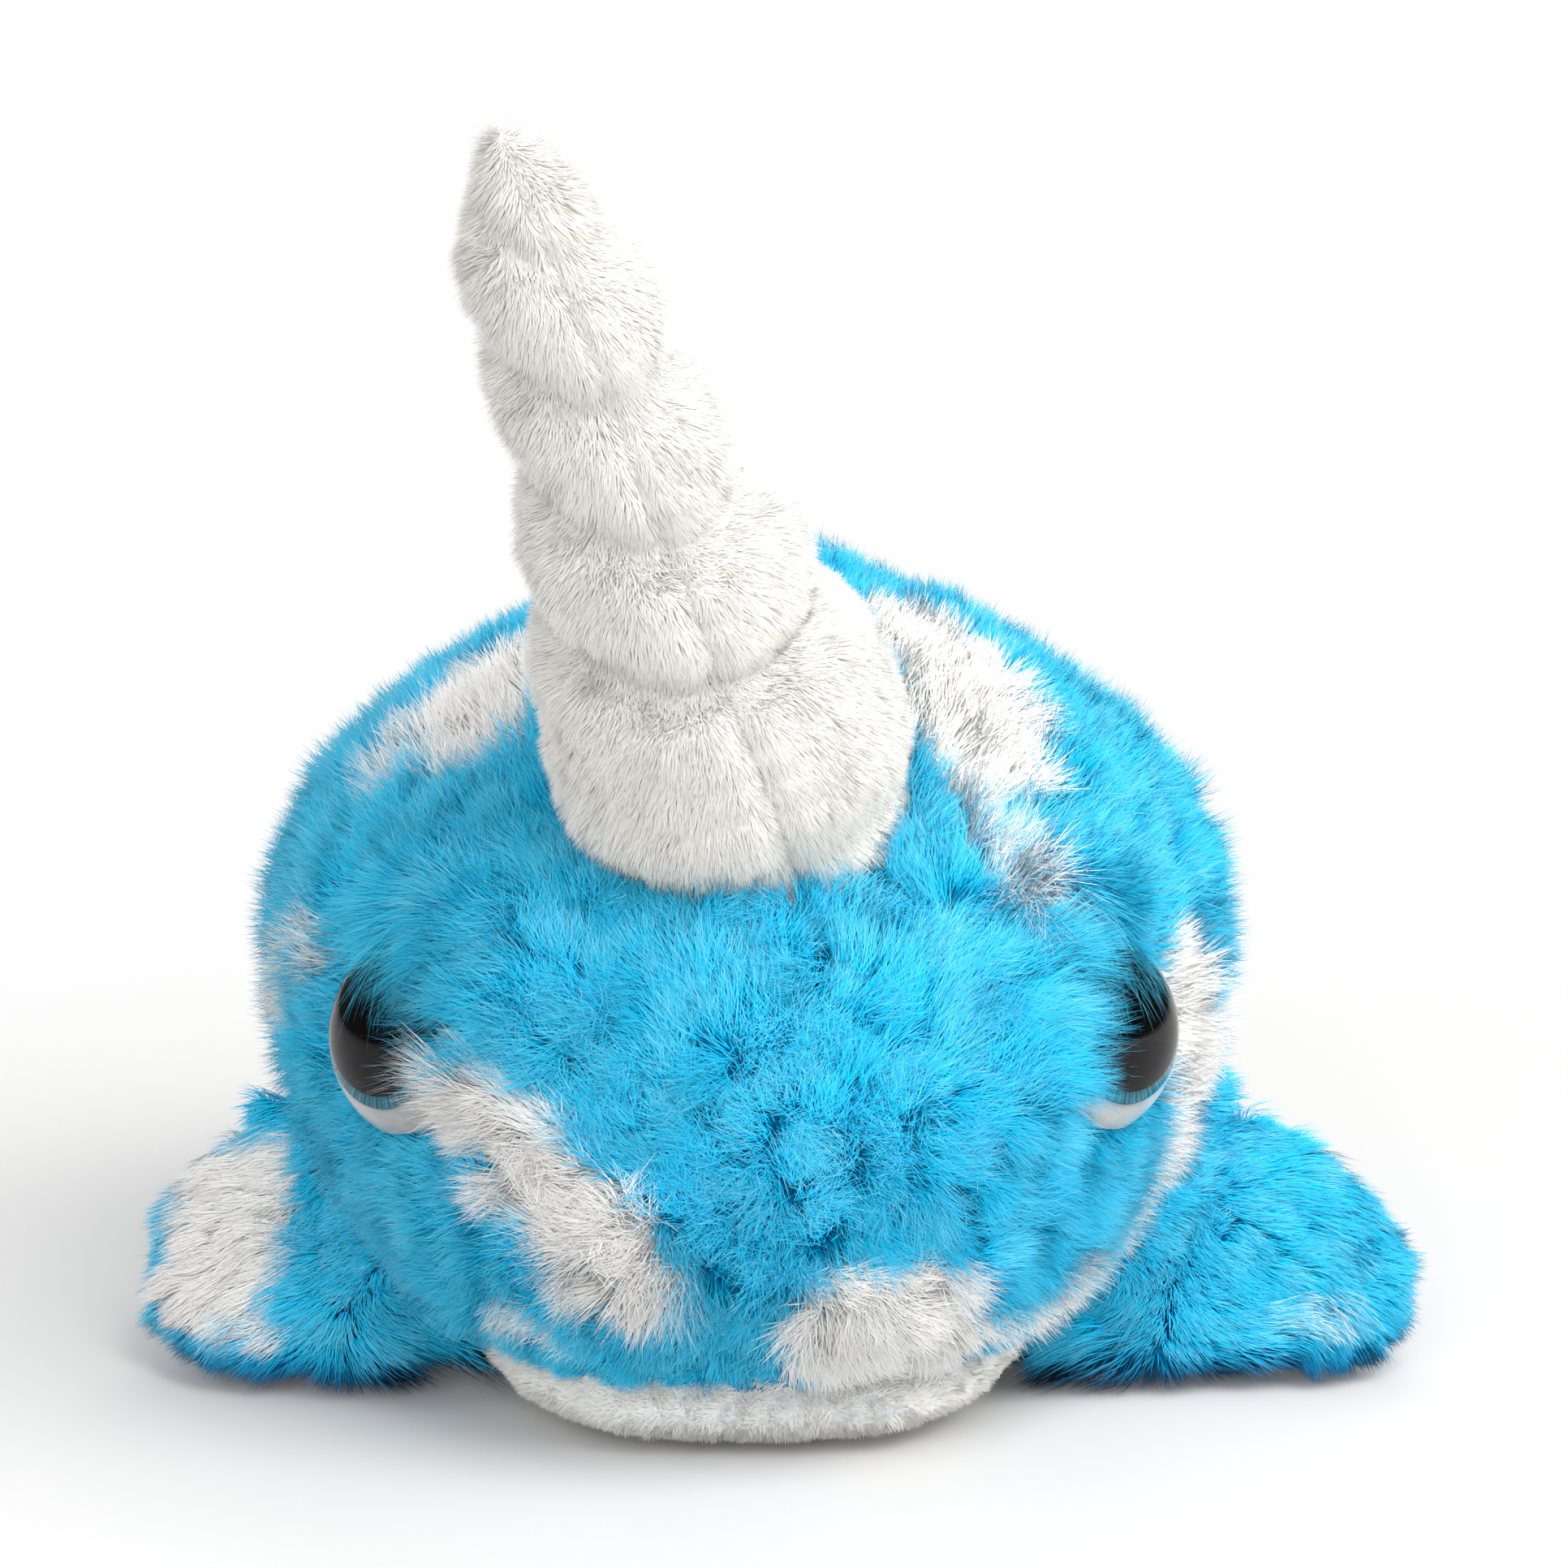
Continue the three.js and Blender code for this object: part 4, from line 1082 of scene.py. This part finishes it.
def fur_material():
    """Tie-dyed pile, white where the cloth was tied; its darker roots are painted shade, its
    lighter tips partly frosted fibre and partly painted highlight, and its navy near the table
    painted shade.
    """
    c = setting("colours")

    def shader(tree):
        height, tint = attribute(tree, "height"), attribute(tree, "tint")
        # Painted shade: each strand is darker towards its root, deep in the pile.
        body = blended(tree, ranged(tree, height, 0.05, 0.62), c.deep, c.blue)
        # Lighter tips: partly the fibre's frosting, partly painted highlight.
        tip_frost_and_highlight = ranged(tree, height, 0.45, 1.0) * (attribute(tree, "tuft_tint") * 0.6 + 0.3)
        blue = blended(tree, tip_frost_and_highlight * (tint * tint * 0.95 + 0.22), body, c.frost)
        # Painted shade: the undyed pile, too, is darker towards its roots.
        pale = blended(tree, ranged(tree, height, 0.0, 0.7), c.shadow, c.white)
        edge = attribute(tree, "undyed") + (tint - 0.5) * 0.35
        colour = blended(tree, ranged(tree, edge, 0.3, 0.72), blue, pale)
        # Painted shade: towards the table the pile turns navy.
        z = flow(tree, "ShaderNodeSeparateXYZ", {0: object_place(tree)}, "Z")
        low = ranged(tree, z, 0.0015, 0.0085, 0.75, 0.0)
        return {
            "Base Color": blended(tree, low, colour, c.navy), "Roughness": 0.8,
            "Specular IOR Level": 0.1, "Sheen Weight": 0.04, "Sheen Roughness": 0.4,
            "Normal": attribute(tree, "puff", "Vector"),
        }

    return bpy.data.materials.get("tie_dyed_pile") or new_material("tie_dyed_pile", shader)


def minky_material():
    """Short white pile, darker towards its roots as painted shade deep in the pile."""
    c = setting("colours")

    def shader(tree):
        # Painted shade: each strand is darker towards its root.
        up = ranged(tree, attribute(tree, "height"), 0.0, 0.8)
        root = blended(tree, up, times(c.minky, 0.94), c.minky)
        return {
            "Base Color": blended(tree, attribute(tree, "tint") * 0.25, root, c.minky_warm),
            "Roughness": 0.62, "Specular IOR Level": 0.3, "Sheen Weight": 0.45,
            "Sheen Roughness": 0.35, "Normal": attribute(tree, "puff", "Vector"),
        }

    return bpy.data.materials.get("white_minky_pile") or new_material("white_minky_pile", shader)


def backing_material(name, dyed):
    """Knitted backing, dyed with the pile that stands on it; it is darker than the pile as painted
    shade under the pile, and darker still in the knit's hollows as painted shade.
    """
    c = setting("colours")

    def shader(tree):
        knit = grain(tree, 2600.0, 1.0)
        # Painted shade: the backing is darker than the pile above it, and darker still in the
        # knit's hollows.
        base, hollow_shade, most_hollow_shade = times(c.minky, 0.86), times(c.minky, 0.75), 0.5
        if dyed:
            kept = ranged(tree, attribute(tree, "undyed"), 0.3, 0.7)
            base = blended(tree, kept, c.deep, c.shadow)
            hollow_shade = blended(tree, kept, times(c.deep, 0.7), times(c.shadow, 0.8))
            most_hollow_shade = 0.35
        return {
            "Base Color": blended(tree, ranged(tree, knit, 0.3, 0.7, 0.0, most_hollow_shade), base, hollow_shade),
            "Roughness": ranged(tree, knit, 0.2, 0.8, 0.75, 0.95), "Sheen Weight": 0.3,
            "Normal": flow(tree, "ShaderNodeBump",
                           {"Strength": 0.3, "Distance": 0.0003, "Height": knit}),
        }

    return new_material(name, shader)


def plastic_material(name, colour, roughness, coat=0.0):
    """Moulded plastic with a faint uneven gloss."""

    def shader(tree):
        mottle = grain(tree, 420.0, 3.0)
        return {
            "Base Color": blended(tree, mottle, times(colour, 0.9), colour),
            "Roughness": ranged(tree, mottle, 0.3, 0.7, roughness * 0.8, roughness * 1.3),
            "Coat Weight": coat, "Coat Roughness": 0.03,
        }

    return new_material(name, shader)


def print_material(name, colour):
    """Matt paint under the dome, a little uneven."""
    return new_material(name, lambda tree: {
        "Base Color": blended(tree, grain(tree, 600.0, 2.0), colour, times(colour, 1.5)),
        "Roughness": 1.0, "Specular IOR Level": 0.0,
    })


def iris_material(side):
    """Teal with fine streaks that run out from the pupil."""
    c = setting("colours")
    middle, across, rise, _ = (tuple(v) for v in eye_frame(side))

    def shader(tree):
        offset = object_place(tree).calculate("SUBTRACT", middle)
        turn = offset.dot(rise).calculate("ARCTAN2", offset.dot(across))
        streak = flow(tree, "ShaderNodeTexNoise", {"W": turn, "Scale": 18.0, "Detail": 3.0},
                      "Fac", noise_dimensions="1D")
        dark, light = times(c.iris, 0.45), times(c.iris, 1.6, 0.02)
        return {"Base Color": blended(tree, ranged(tree, streak, 0.3, 0.7), dark, light),
                "Roughness": 1.0, "Specular IOR Level": 0.0}

    return new_material("teal_iris", shader)


def lens_material():
    """Clear polished plastic."""
    return new_material("clear_lens", lambda tree: {
        "Roughness": ranged(tree, grain(tree, 160.0, 3.0, 0.6), 0.45, 0.8, 0.003, 0.009),
        "Base Color": (1, 1, 1), "IOR": 1.36, "Transmission Weight": 1.0,
    })


# Operators


def fit(obj, body, slot, *nodes):
    """Parents a piece to the empty of the body it moves with and hides the imported parts it stands
    for; what it is made of, slot, is not used.
    """
    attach(obj, body)
    if nodes:
        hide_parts(*nodes)


class NARWHAL_OT_stage(bpy.types.Operator):
    """Makes the camera, the lamps, the world and the table"""

    bl_idname = "narwhal.stage"
    bl_label = "Stage"

    def execute(self, context):
        s = setting("stage")
        scene = context.scene
        scene.view_settings.view_transform = "Standard"
        back = Vector((
            math.sin(s.azimuth) * math.cos(s.elevation),
            -math.cos(s.azimuth) * math.cos(s.elevation), math.sin(s.elevation),
        ))
        camera = link(bpy.data.objects.new("camera", bpy.data.cameras.new("camera")))
        camera.data.lens = s.lens
        camera.data.sensor_width = 36.0
        camera.data.clip_start, camera.data.clip_end = 0.01, 50.0
        camera.location = Vector(s.target) + back * s.distance
        camera.rotation_mode = "QUATERNION"
        camera.rotation_quaternion = (-back).to_track_quat("-Z", "Y")
        scene.camera = camera
        for name, power, size, place in (
            ("key", s.key, 0.9, (0.45, -0.55, 0.95)),
            ("fill", s.fill, 0.9, (-0.35, -1.00, 0.45)),
            ("left", s.side * 1.7, 0.9, (0.95, -0.25, 0.45)),
            ("right", s.side * 0.35, 0.8, (-0.95, -0.10, 0.55)),
            ("back", s.side * 1.2, 0.8, (0.10, 1.00, 0.75)),
        ):
            lamp = bpy.data.lights.new(name, "AREA")
            lamp.shape, lamp.size, lamp.energy = "DISK", size, power
            obj = link(bpy.data.objects.new(name, lamp))
            obj.location = place
            obj.visible_glossy = False
            aim = Vector((0, 0, 0.05)) - Vector(place)
            obj.rotation_euler = aim.to_track_quat("-Z", "Y").to_euler()
        self.make_world(scene, s)
        self.make_floor(s)
        return {"FINISHED"}

    def make_world(self, scene, s):
        """White to the camera and through the domes, dim in reflections."""
        world = bpy.data.worlds.new("studio")
        scene.world = world
        world.use_nodes = True
        tree = world.node_tree
        tree.nodes.clear()
        camera, through, glossy = (
            flow(tree, "ShaderNodeLightPath", (), "Is %s Ray" % kind)
            for kind in ("Camera", "Transmission", "Glossy")
        )
        seen = camera.calculate("MAXIMUM", through)
        strength = (seen * (1.0 - s.sky) + s.sky) * (glossy * -0.85 + 1.0)
        shell = flow(tree, "ShaderNodeBackground", {"Color": (1, 1, 1), "Strength": strength})
        add(tree, "ShaderNodeOutputWorld", {"Surface": shell})

    def make_floor(self, s):
        """A pale table that fades to white before the camera."""
        r = s.floor_size
        corners = [(-r, -r, 0), (r, -r, 0), (r, r, 0), (-r, r, 0)]
        floor = piece_from("floor", corners, [(0, 1, 2, 3)])
        material = new_material("pale_table", lambda tree: {
            "Base Color": setting("colours").floor, "Roughness": 0.9, "Specular IOR Level": 0.2,
        })
        tree = material.node_tree
        out = next(node for node in tree.nodes if node.type == "OUTPUT_MATERIAL")
        table = Wire(tree, out.inputs["Surface"].links[0].from_socket)
        camera = flow(tree, "ShaderNodeLightPath", (), "Is Camera Ray")
        away = object_place(tree).calculate("LENGTH", output="Value")
        far = ranged(tree, away, s.fade_start, s.fade_end) * camera
        glow = flow(tree, "ShaderNodeEmission", {"Strength": camera})
        lift = flow(tree, "ShaderNodeEmission", {"Strength": camera * 0.04})
        lifted = flow(tree, "ShaderNodeAddShader", {0: table, 1: lift})
        both = flow(tree, "ShaderNodeMixShader", {0: far, 1: lifted, 2: glow})
        tree.links.new(both.socket, out.inputs["Surface"])
        floor.data.materials.append(material)


def along_skin(vectors, up):
    """The share of the vectors that runs along the skin."""
    return vectors - up * np.einsum("ij,ij->i", vectors, up)[:, None]


def give_nap(mesh, up, comb, pile, cover, dye, zone=None):
    """Stores what the pile reads of its skin."""
    for name, values in (("stand", up), ("comb", comb), ("pile", pile), ("cover", cover),
                         ("undyed", dye)):
        store(mesh, name, values)
    if zone is None:
        zone = np.zeros(len(mesh.polygons))
    layer = mesh.attributes.new("zone", "INT", "FACE")
    layer.data.foreach_set("value", np.asarray(zone, np.int32))


class NARWHAL_OT_body(bpy.types.Operator):
    """Stuffs the body and grows its fur and its belly pile"""

    bl_idname = "narwhal.body"
    bl_label = "Body"

    def execute(self, context):
        p, b = setting("pile"), setting("body")
        skin = skin_from("body_skin", body_surface(56, 64, 0.0008))
        stuff(skin, BODY_WEAVE, BODY_FILLING, 0.0012, self.held)
        mesh = skin.data
        points = set_down(mesh, BODY_LOWEST)
        self.raise_brows(mesh, points)
        self.roll_lip(mesh, points)
        up = normals(mesh)
        under = seam_height(points[:, 1]) - points[:, 2]
        dye = undyed(points + up * b.fur_depth, p.seed, BODY_RESIST)
        dye = np.maximum(dye, ramp(under, 0.0008, 0.0018))
        x, y, z = triples(mesh.polygons, "center").T
        zone = 1 + 3 * (x < 0) + np.digitize(y, PARTS_END)
        zone = np.where(z > seam_height(y), zone, 0)
        give_nap(mesh, up, *self.nap(points, up, under), dye, zone)
        furry = fur_material()
        mesh.materials.append(backing_material("dyed_backing", True))
        # The parts of each side, from the face back: more and finer strands in front
        parts = (("face", 2.6, 0.7), ("flank", 1.25, 0.92), ("rear", 1.0, 1.0))
        for side in SIDES:
            for place, (part, denser, finer) in enumerate(parts):
                piece = grow(
                    skin, "fur_%s_%s" % (part, side), furry,
                    zone=1 + place + (0 if side == "left" else 3), count=p.fur_count * denser,
                    tuft_room=p.tuft_room, length=p.fur_length, width=p.fur_width * finer,
                    seed=p.seed, bends=1, lean=0.36, splay=0.48, frizz=0.5, gather=0.18,
                )
                fit(piece, "body", "fur", *(["body_side_" + side] if part == "face" else []))
        piece = grow(
            skin, "belly_pile", minky_material(), zone=0, count=p.nap_count * 0.7,
            tuft_room=p.nap_tuft, length=p.nap_length, width=p.nap_width * 1.2, seed=p.seed,
            bends=0, splay=0.3, evenness=p.nap_even, frizz=0.3, lean=0.4,
        )
        fit(piece, "body", "minky", "belly_panel")
        fit(skin, "body", "stuffing", "body_stuffing")
        return {"FINISHED"}

    def nap(self, points, up, under):
        """Way, length and density of the pile: off the nose, round eyes, tusk and seam."""
        b, t, p = setting("body"), setting("tusk"), setting("pile")
        away = unit(points - np.array((0.0, b.nose_y + 0.018, 0.030)))
        comb = along_skin(away + wander(points, 0.016, p.seed, 1) * 0.9, up)
        pile, cover = np.ones((2, len(points)))
        for side in SIDES.values():
            depth, aside, far, inward = round_eye(points, side)
            near = np.abs(depth) < EYE_REACH
            cover[near & (far < EYE_BARE)] = 0
            rim = near * ramp(far, EYE_RIM_END, EYE_RIM)
            pull = rim * smooth(inward / 0.5)
            push = rim - pull
            comb = comb * (1 - rim)[:, None] + unit(-aside) * (pull * 1.9 - push * 0.4)[:, None]
            pile *= 1 + 0.55 * pull - 0.25 * push
            cover *= 1 + 1.2 * pull
        axis = tusk_frame()[0]
        offset = points - np.array(t.seat)
        aside = offset - (offset @ axis)[:, None] * axis
        far, front = np.linalg.norm(aside, axis=1), points[:, 2] > 0.05
        cover[(far < t.base_radius - 0.009) & front] = 0
        beside = (ramp(far, t.base_radius + 0.006, t.base_radius - 0.002) * front)[:, None]
        comb = comb * (1 - beside) + (axis * 0.9 - unit(aside) * 0.5) * beside
        pile *= 1 - 0.25 * ramp(points[:, 1], -0.012, 0.008) * ramp(points[:, 2], 0.07, 0.09)
        end = ramp(points[:, 1], b.tail_y - 0.004, b.tail_y - 0.002) * smooth(up[:, 1] * 2)
        pile *= 1 - 0.35 * end
        edge = smooth(-under / 0.010)
        pile *= mix(0.42, 1.0, edge)
        comb = comb + np.array([0, 0, 1.3]) * (1 - edge)[:, None]
        return along_skin(comb, up), pile, cover

    def raise_brows(self, mesh, points):
        """The filling swells over the inner and upper rim of each eye."""
        up = normals(mesh)
        for side in SIDES.values():
            depth, _, far, inward = round_eye(points, side)
            ring = ramp(far, *BROW[:2]) * ramp(far, *BROW[:1:-1])
            risen = setting("body").brow * ring * smooth(inward / 0.6 + 0.1)
            points += up * (risen * (np.abs(depth) < EYE_REACH))[:, None]
        move_to(mesh, points)

    def roll_lip(self, mesh, points):
        """The belly's edge rolls out under the fur of the chin and the cheeks."""
        b = setting("body")
        level = normals(mesh) * (1, 1, 0)
        under = smooth((seam_height(points[:, 1]) - points[:, 2]) / 0.005)
        rolled = under * (1 - ramp(points[:, 1], -0.015, 0.015))
        points += level * (b.lip * rolled)[:, None]
        points[:, 2] = np.maximum(points[:, 2] - b.lip_drop * rolled, BODY_LOWEST)
        move_to(mesh, points)

    def held(self, points):
        """Seams that the filling can't push out."""
        seam = np.abs(points[:, 2] - seam_height(points[:, 1])) < 0.003
        crown = (np.abs(points[:, 0]) < 0.003) & (points[:, 2] > 0.02)
        return seam | crown | (points[:, 2] < 0.004)


def turned(name, profile, side, up=0.0, sides=64):
    """A turned solid on an eye's axis, from (radius, height) pairs that start and end on it."""
    middle, across, rise, out = eye_frame(side)
    middle = middle + rise * up
    turn = np.linspace(0, TURN, sides, endpoint=False)[:, None]
    obj = skin_from(name, np.array([
        middle + out * height + across * (radius * np.cos(turn)) + rise * (radius * np.sin(turn))
        for radius, height in profile[1:-1]
    ]))
    points = places(obj.data)
    points[-2:] = middle + out * np.array([profile[0][1], profile[-1][1]])[:, None]
    move_to(obj.data, points)
    outward(obj.data)
    shade_smooth(obj.data)
    obj.data.set_sharp_from_angle(angle=math.radians(50))
    return obj


def rounded(profile, size=0.0002, steps=3):
    """The profile with each inner corner rounded."""
    found = [profile[0]]
    for corner in zip(profile, profile[1:], profile[2:]):
        before, here, after = (np.array(v, float) for v in corner)
        first, second = before - here, after - here
        cut = min(size, np.linalg.norm(first) / 2.1, np.linalg.norm(second) / 2.1)
        start, end = here + unit(first) * cut, here + unit(second) * cut
        for t in (i / steps for i in range(steps + 1)):
            found.append(tuple(start * (1 - t) ** 2 + here * 2 * t * (1 - t) + end * t * t))
    return found + [profile[-1]]


def disc(radius, low, high):
    return [(0, low), (radius, low), (radius, high), (0, high)]


def cap(radius, rim, rise, steps):
    """Points on a ball's cap, from its rim to the pole."""
    ball = (radius**2 + rise**2) / (2 * rise)
    sweep = math.asin(min(radius / ball, 1))
    turns = [sweep * (1 - i / steps) for i in range(steps + 1)]
    return [(ball * math.sin(a), rim + rise - ball + ball * math.cos(a)) for a in turns]


class NARWHAL_OT_eyes(bpy.types.Operator):
    """Turns the cups, discs and clear domes of the eyes"""

    bl_idname = "narwhal.eyes"
    bl_label = "Eyes"

    def execute(self, context):
        e, c = setting("eyes"), setting("colours")
        white = plastic_material("eye_white_plastic", c.eye_white, 0.22, 0.4)
        black = print_material("black_print", c.pupil)
        plain = plastic_material("washer_plastic", c.eye_white, 0.45)
        clear = lens_material()
        foot = -e.back
        deep, rim = foot - e.shank_length, foot + e.cup
        iris = rim + e.gap
        pupil = iris + e.disc + e.gap
        cup = rounded([(0, deep), (e.shank, deep), (e.shank, foot), *disc(e.radius, foot, rim)[1:]])
        # The dome is cast round the discs and on the cup, so its foot lies inside the cup
        dome = cap(e.radius, rim + e.gap, e.dome, 24)
        seat = rim - e.gap
        lens = [(0, seat), (e.radius - e.gap, seat), *dome[:-1], (0, dome[-1][1])]
        iris_disc = rounded(disc(e.iris, iris, iris + e.disc), 0.0001)
        pupil_disc = rounded(disc(e.pupil, pupil, pupil + e.disc), 0.0001)
        for name, side in SIDES.items():
            for part, node, profile, up, look in (
                ("eye_cup", "white", cup, 0, white),
                ("iris_disc", "iris", iris_disc, e.iris_up, iris_material(side)),
                ("pupil_disc", "pupil", pupil_disc, e.pupil_up, black),
                ("eye_dome", "lens", lens, 0, clear),
            ):
                piece = turned("%s_%s" % (part, name), profile, side, up)
                piece.data.materials.append(look)
                fit(piece, "body", "eye_" + node, "eye_%s_%s" % (node, name))
            washer = frame["nodes"]["eye_washer_" + name]
            washer.data.materials.clear()
            washer.data.materials.append(plain)
        return {"FINISHED"}


class NARWHAL_OT_tusk(bpy.types.Operator):
    """Sews the tusk: puffed skin, cinch thread and short pile"""

    bl_idname = "narwhal.tusk"
    bl_label = "Tusk"

    def execute(self, context):
        t, p = setting("tusk"), setting("pile")
        skin = skin_from("tusk_skin", tusk_surface(92, 88))
        mesh = skin.data
        shade_smooth(mesh)
        points, up = places(mesh), normals(mesh)
        axis, right, back = tusk_frame()
        offset = points - np.array(t.seat)
        height = offset @ axis
        turn = np.arctan2(offset @ back, offset @ right)
        seam = beside_seam(turn)
        parting = (0.3 * np.sign(seam) * bell(seam, 0.3))[:, None]
        round_way = back * np.cos(turn)[:, None] - right * np.sin(turn)[:, None]
        comb = wander(points, 0.009, p.seed, 1) * 0.3 - axis + round_way * parting
        tip = smooth((height - t.height + 0.022) / 0.02)
        pile = (0.85 - 0.1 * tip) * (1 - 0.45 * bell(seam, 0.07))
        white = np.ones(len(points))
        give_nap(mesh, up, along_skin(comb, up), pile, height > -0.009, white)
        mesh.materials.append(backing_material("minky_backing", False))
        piece = grow(
            skin, "tusk_pile", minky_material(), zone=0, count=p.nap_count,
            tuft_room=p.nap_tuft, length=p.nap_length, width=p.nap_width, seed=p.seed + 3,
            bends=0, lean=0.75, evenness=p.nap_even, splay=0.2, frizz=0.26, gather=0.12,
        )
        thread = self.thread(t)
        fit(piece, "body", "minky", "tusk_cover")
        fit(skin, "body", "stuffing", "tusk_stuffing")
        fit(thread, "body", "thread", "tusk_cinch_thread")
        return {"FINISHED"}

    def thread(self, t, steps=40):
        """The thread lies in the crease that it draws; steps for each turn."""
        count = int((t.height - t.end_room - t.start) / t.pitch * steps)
        turn = np.arange(count + 1) / steps
        around = -turn * TURN
        height = t.start + t.pitch * (turn - seam_dip(around))
        line = tusk_point(height, around, tusk_skin_radius(height, around) + t.thread * 0.8)
        obj = piece_from("tusk_thread", line, [], [(i, i + 1) for i in range(count)])
        tree, given = fresh_tree("twisted_thread", (
            ("Path", "Geometry", None), ("Radius", "Float", None), ("Material", "Material", None),
        ))
        index = flow(tree, "GeometryNodeInputIndex")
        curve = flow(tree, "GeometryNodeMeshToCurve", {"Mesh": given["Path"]})
        twisted = flow(tree, "GeometryNodeSetCurveTilt", {"Curve": curve, "Tilt": index * 1.1})
        ring = flow(tree, "GeometryNodeCurvePrimitiveCircle", {"Radius": 1.0, "Resolution": 12})
        # Three strands show as lobes of the section
        wave = (index * (math.pi / 2)).calculate("COSINE") * 0.14 + 0.86
        place = flow(tree, "GeometryNodeInputPosition") * (wave * given["Radius"])
        lobed = flow(tree, "GeometryNodeSetPosition", {"Geometry": ring, "Position": place})
        tube = flow(tree, "GeometryNodeCurveToMesh",
                    {"Curve": twisted, "Profile Curve": lobed, "Fill Caps": True})
        close_tree(tree, tube, given["Material"])
        run_tree(obj, tree, radius=t.thread, material=backing_material("white_thread", False))
        shade_smooth(obj.data)
        return obj


def furred_limb(body, limb, end, backing, rings, most, held, lay, **inputs):
    """Stuffs a limb's skin and grows its fur; lay gives its comb, length, density and dye."""
    skin = skin_from(limb + "_skin" + end, rings)
    stuff(skin, LIMB_WEAVE, LIMB_FILLING, most, held)
    mesh = skin.data
    points, up = set_down(mesh, LIMB_LOWEST), normals(mesh)
    give_nap(mesh, up, *lay(points, up))
    mesh.materials.append(backing_material(backing, True))
    piece = grow(skin, "fur_" + body, fur_material(), zone=0, bends=1,
                 tuft_room=setting("pile").tuft_room * 0.8, **inputs)
    fit(piece, body, "fur", limb + "_upper" + end, limb + "_lower" + end)
    fit(skin, body, "stuffing", limb + "_stuffing" + end)


class NARWHAL_OT_flippers(bpy.types.Operator):
    """Stuffs both flippers and grows their fur"""

    bl_idname = "narwhal.flippers"
    bl_label = "Flippers"

    def execute(self, context):
        for name, side in SIDES.items():
            self.make(name, side)
        return {"FINISHED"}

    def make(self, name, side):
        p, s = setting("pile"), setting("limbs")
        root, span, chord, _ = limb_frame(side)

        def lay(points, up):
            """Out along the span, forward at the front of the root, short near the table."""
            offset = points - root
            reach, ahead = offset @ span, offset @ chord / s.chord
            comb = span + chord * (ahead * 0.5)[:, None]
            comb = along_skin(comb + wander(points, 0.012, p.seed + side, 1) * 0.8, up)
            front = smooth(ahead / 0.6 - 0.5) * ramp(reach, 0.016, 0.004)
            comb = comb * (1 - front)[:, None] + (chord - span * 0.6) * front[:, None] * 1.4
            pile = (1 + 0.7 * front) * mix(0.55, 1.0, ramp(points[:, 2], 0.001, 0.008))
            dye = undyed(points + up * s.limb_depth, p.seed + side, LIMB_RESIST)
            return comb, pile, reach > -0.004, dye

        furred_limb(
            "flipper_" + name, "flipper", "_" + name, "limb_backing_" + name,
            flipper_surface(side, 30, 40, 0.0004), 0.0007,
            lambda points: (points - root) @ span < 0.002, lay,
            count=p.limb_count, length=p.limb_length, width=p.fur_width * 0.72,
            seed=p.seed + side, lean=1.0, splay=0.3, frizz=0.36, gather=0.2,
        )


class NARWHAL_OT_flukes(bpy.types.Operator):
    """Stuffs the flukes and grows their fur"""

    bl_idname = "narwhal.flukes"
    bl_label = "Flukes"

    def execute(self, context):
        p, tail = setting("pile"), setting("body").tail_y

        def held(points):
            return (np.abs(points[:, 0]) < 0.011) & (points[:, 1] < tail + 0.004)

        def lay(points, up):
            """Back and out to the lobes, but forward at the root, to meet the tail's pile."""
            x, behind = points[:, 0], points[:, 1] - tail
            comb = np.stack([x / 0.03, np.ones(len(x)), 0 * x], 1)
            comb = comb + wander(points, 0.012, p.seed, 1) * 0.7
            ahead = ramp(behind, 0.006, 0.001)[:, None]
            comb = along_skin(comb * (1 - ahead) - np.array([0, 0.8, 0]) * ahead, up)
            sewn = ramp(behind, 0.0035, 0.0005) * smooth(-up[:, 1] * 2)
            return comb, 0.85 + 0.1 * sewn, np.ones(len(x)), undyed(points, p.seed + 2, ())

        furred_limb(
            "flukes", "fluke", "", "fluke_backing", fluke_surface(44, 36, 0.0003), 0.0006,
            held, lay,
            count=p.limb_count * 0.8, length=p.limb_length * 0.85, width=p.fur_width * 0.8,
            seed=p.seed, lean=0.8, splay=0.4, frizz=0.34, gather=0.3,
        )
        return {"FINISHED"}


class NARWHAL_PT_pieces(bpy.types.Panel):
    """Lists what the add-on makes"""

    bl_idname = "NARWHAL_PT_pieces"
    bl_label = "Plush narwhal"
    bl_space_type = "VIEW_3D"
    bl_region_type = "UI"
    bl_category = "Narwhal"

    def draw(self, context):
        for operator in OPERATORS:
            self.layout.operator(operator.bl_idname)


OPERATORS = (
    NARWHAL_OT_stage, NARWHAL_OT_body, NARWHAL_OT_tusk, NARWHAL_OT_eyes, NARWHAL_OT_flippers,
    NARWHAL_OT_flukes,
)
GROUPS = {
    "body": NarwhalBody, "limbs": NarwhalLimbs, "tusk": NarwhalTusk, "eyes": NarwhalEyes,
    "pile": NarwhalPile, "colours": NarwhalColours, "stage": NarwhalStage,
}
CLASSES = (*GROUPS.values(), *OPERATORS, NARWHAL_PT_pieces)


def register():
    for cls in CLASSES:
        bpy.utils.register_class(cls)
    for name, group in GROUPS.items():
        setattr(bpy.types.Scene, "narwhal_" + name, PointerProperty(type=group))


def unregister():
    for name in GROUPS:
        delattr(bpy.types.Scene, "narwhal_" + name)
    for cls in reversed(CLASSES):
        bpy.utils.unregister_class(cls)


def main():
    register()
    bpy.ops.narwhal.stage()
    bpy.ops.narwhal.body()
    bpy.ops.narwhal.tusk()
    bpy.ops.narwhal.eyes()
    bpy.ops.narwhal.flippers()
    bpy.ops.narwhal.flukes()


if __name__ == "__main__":
    main()
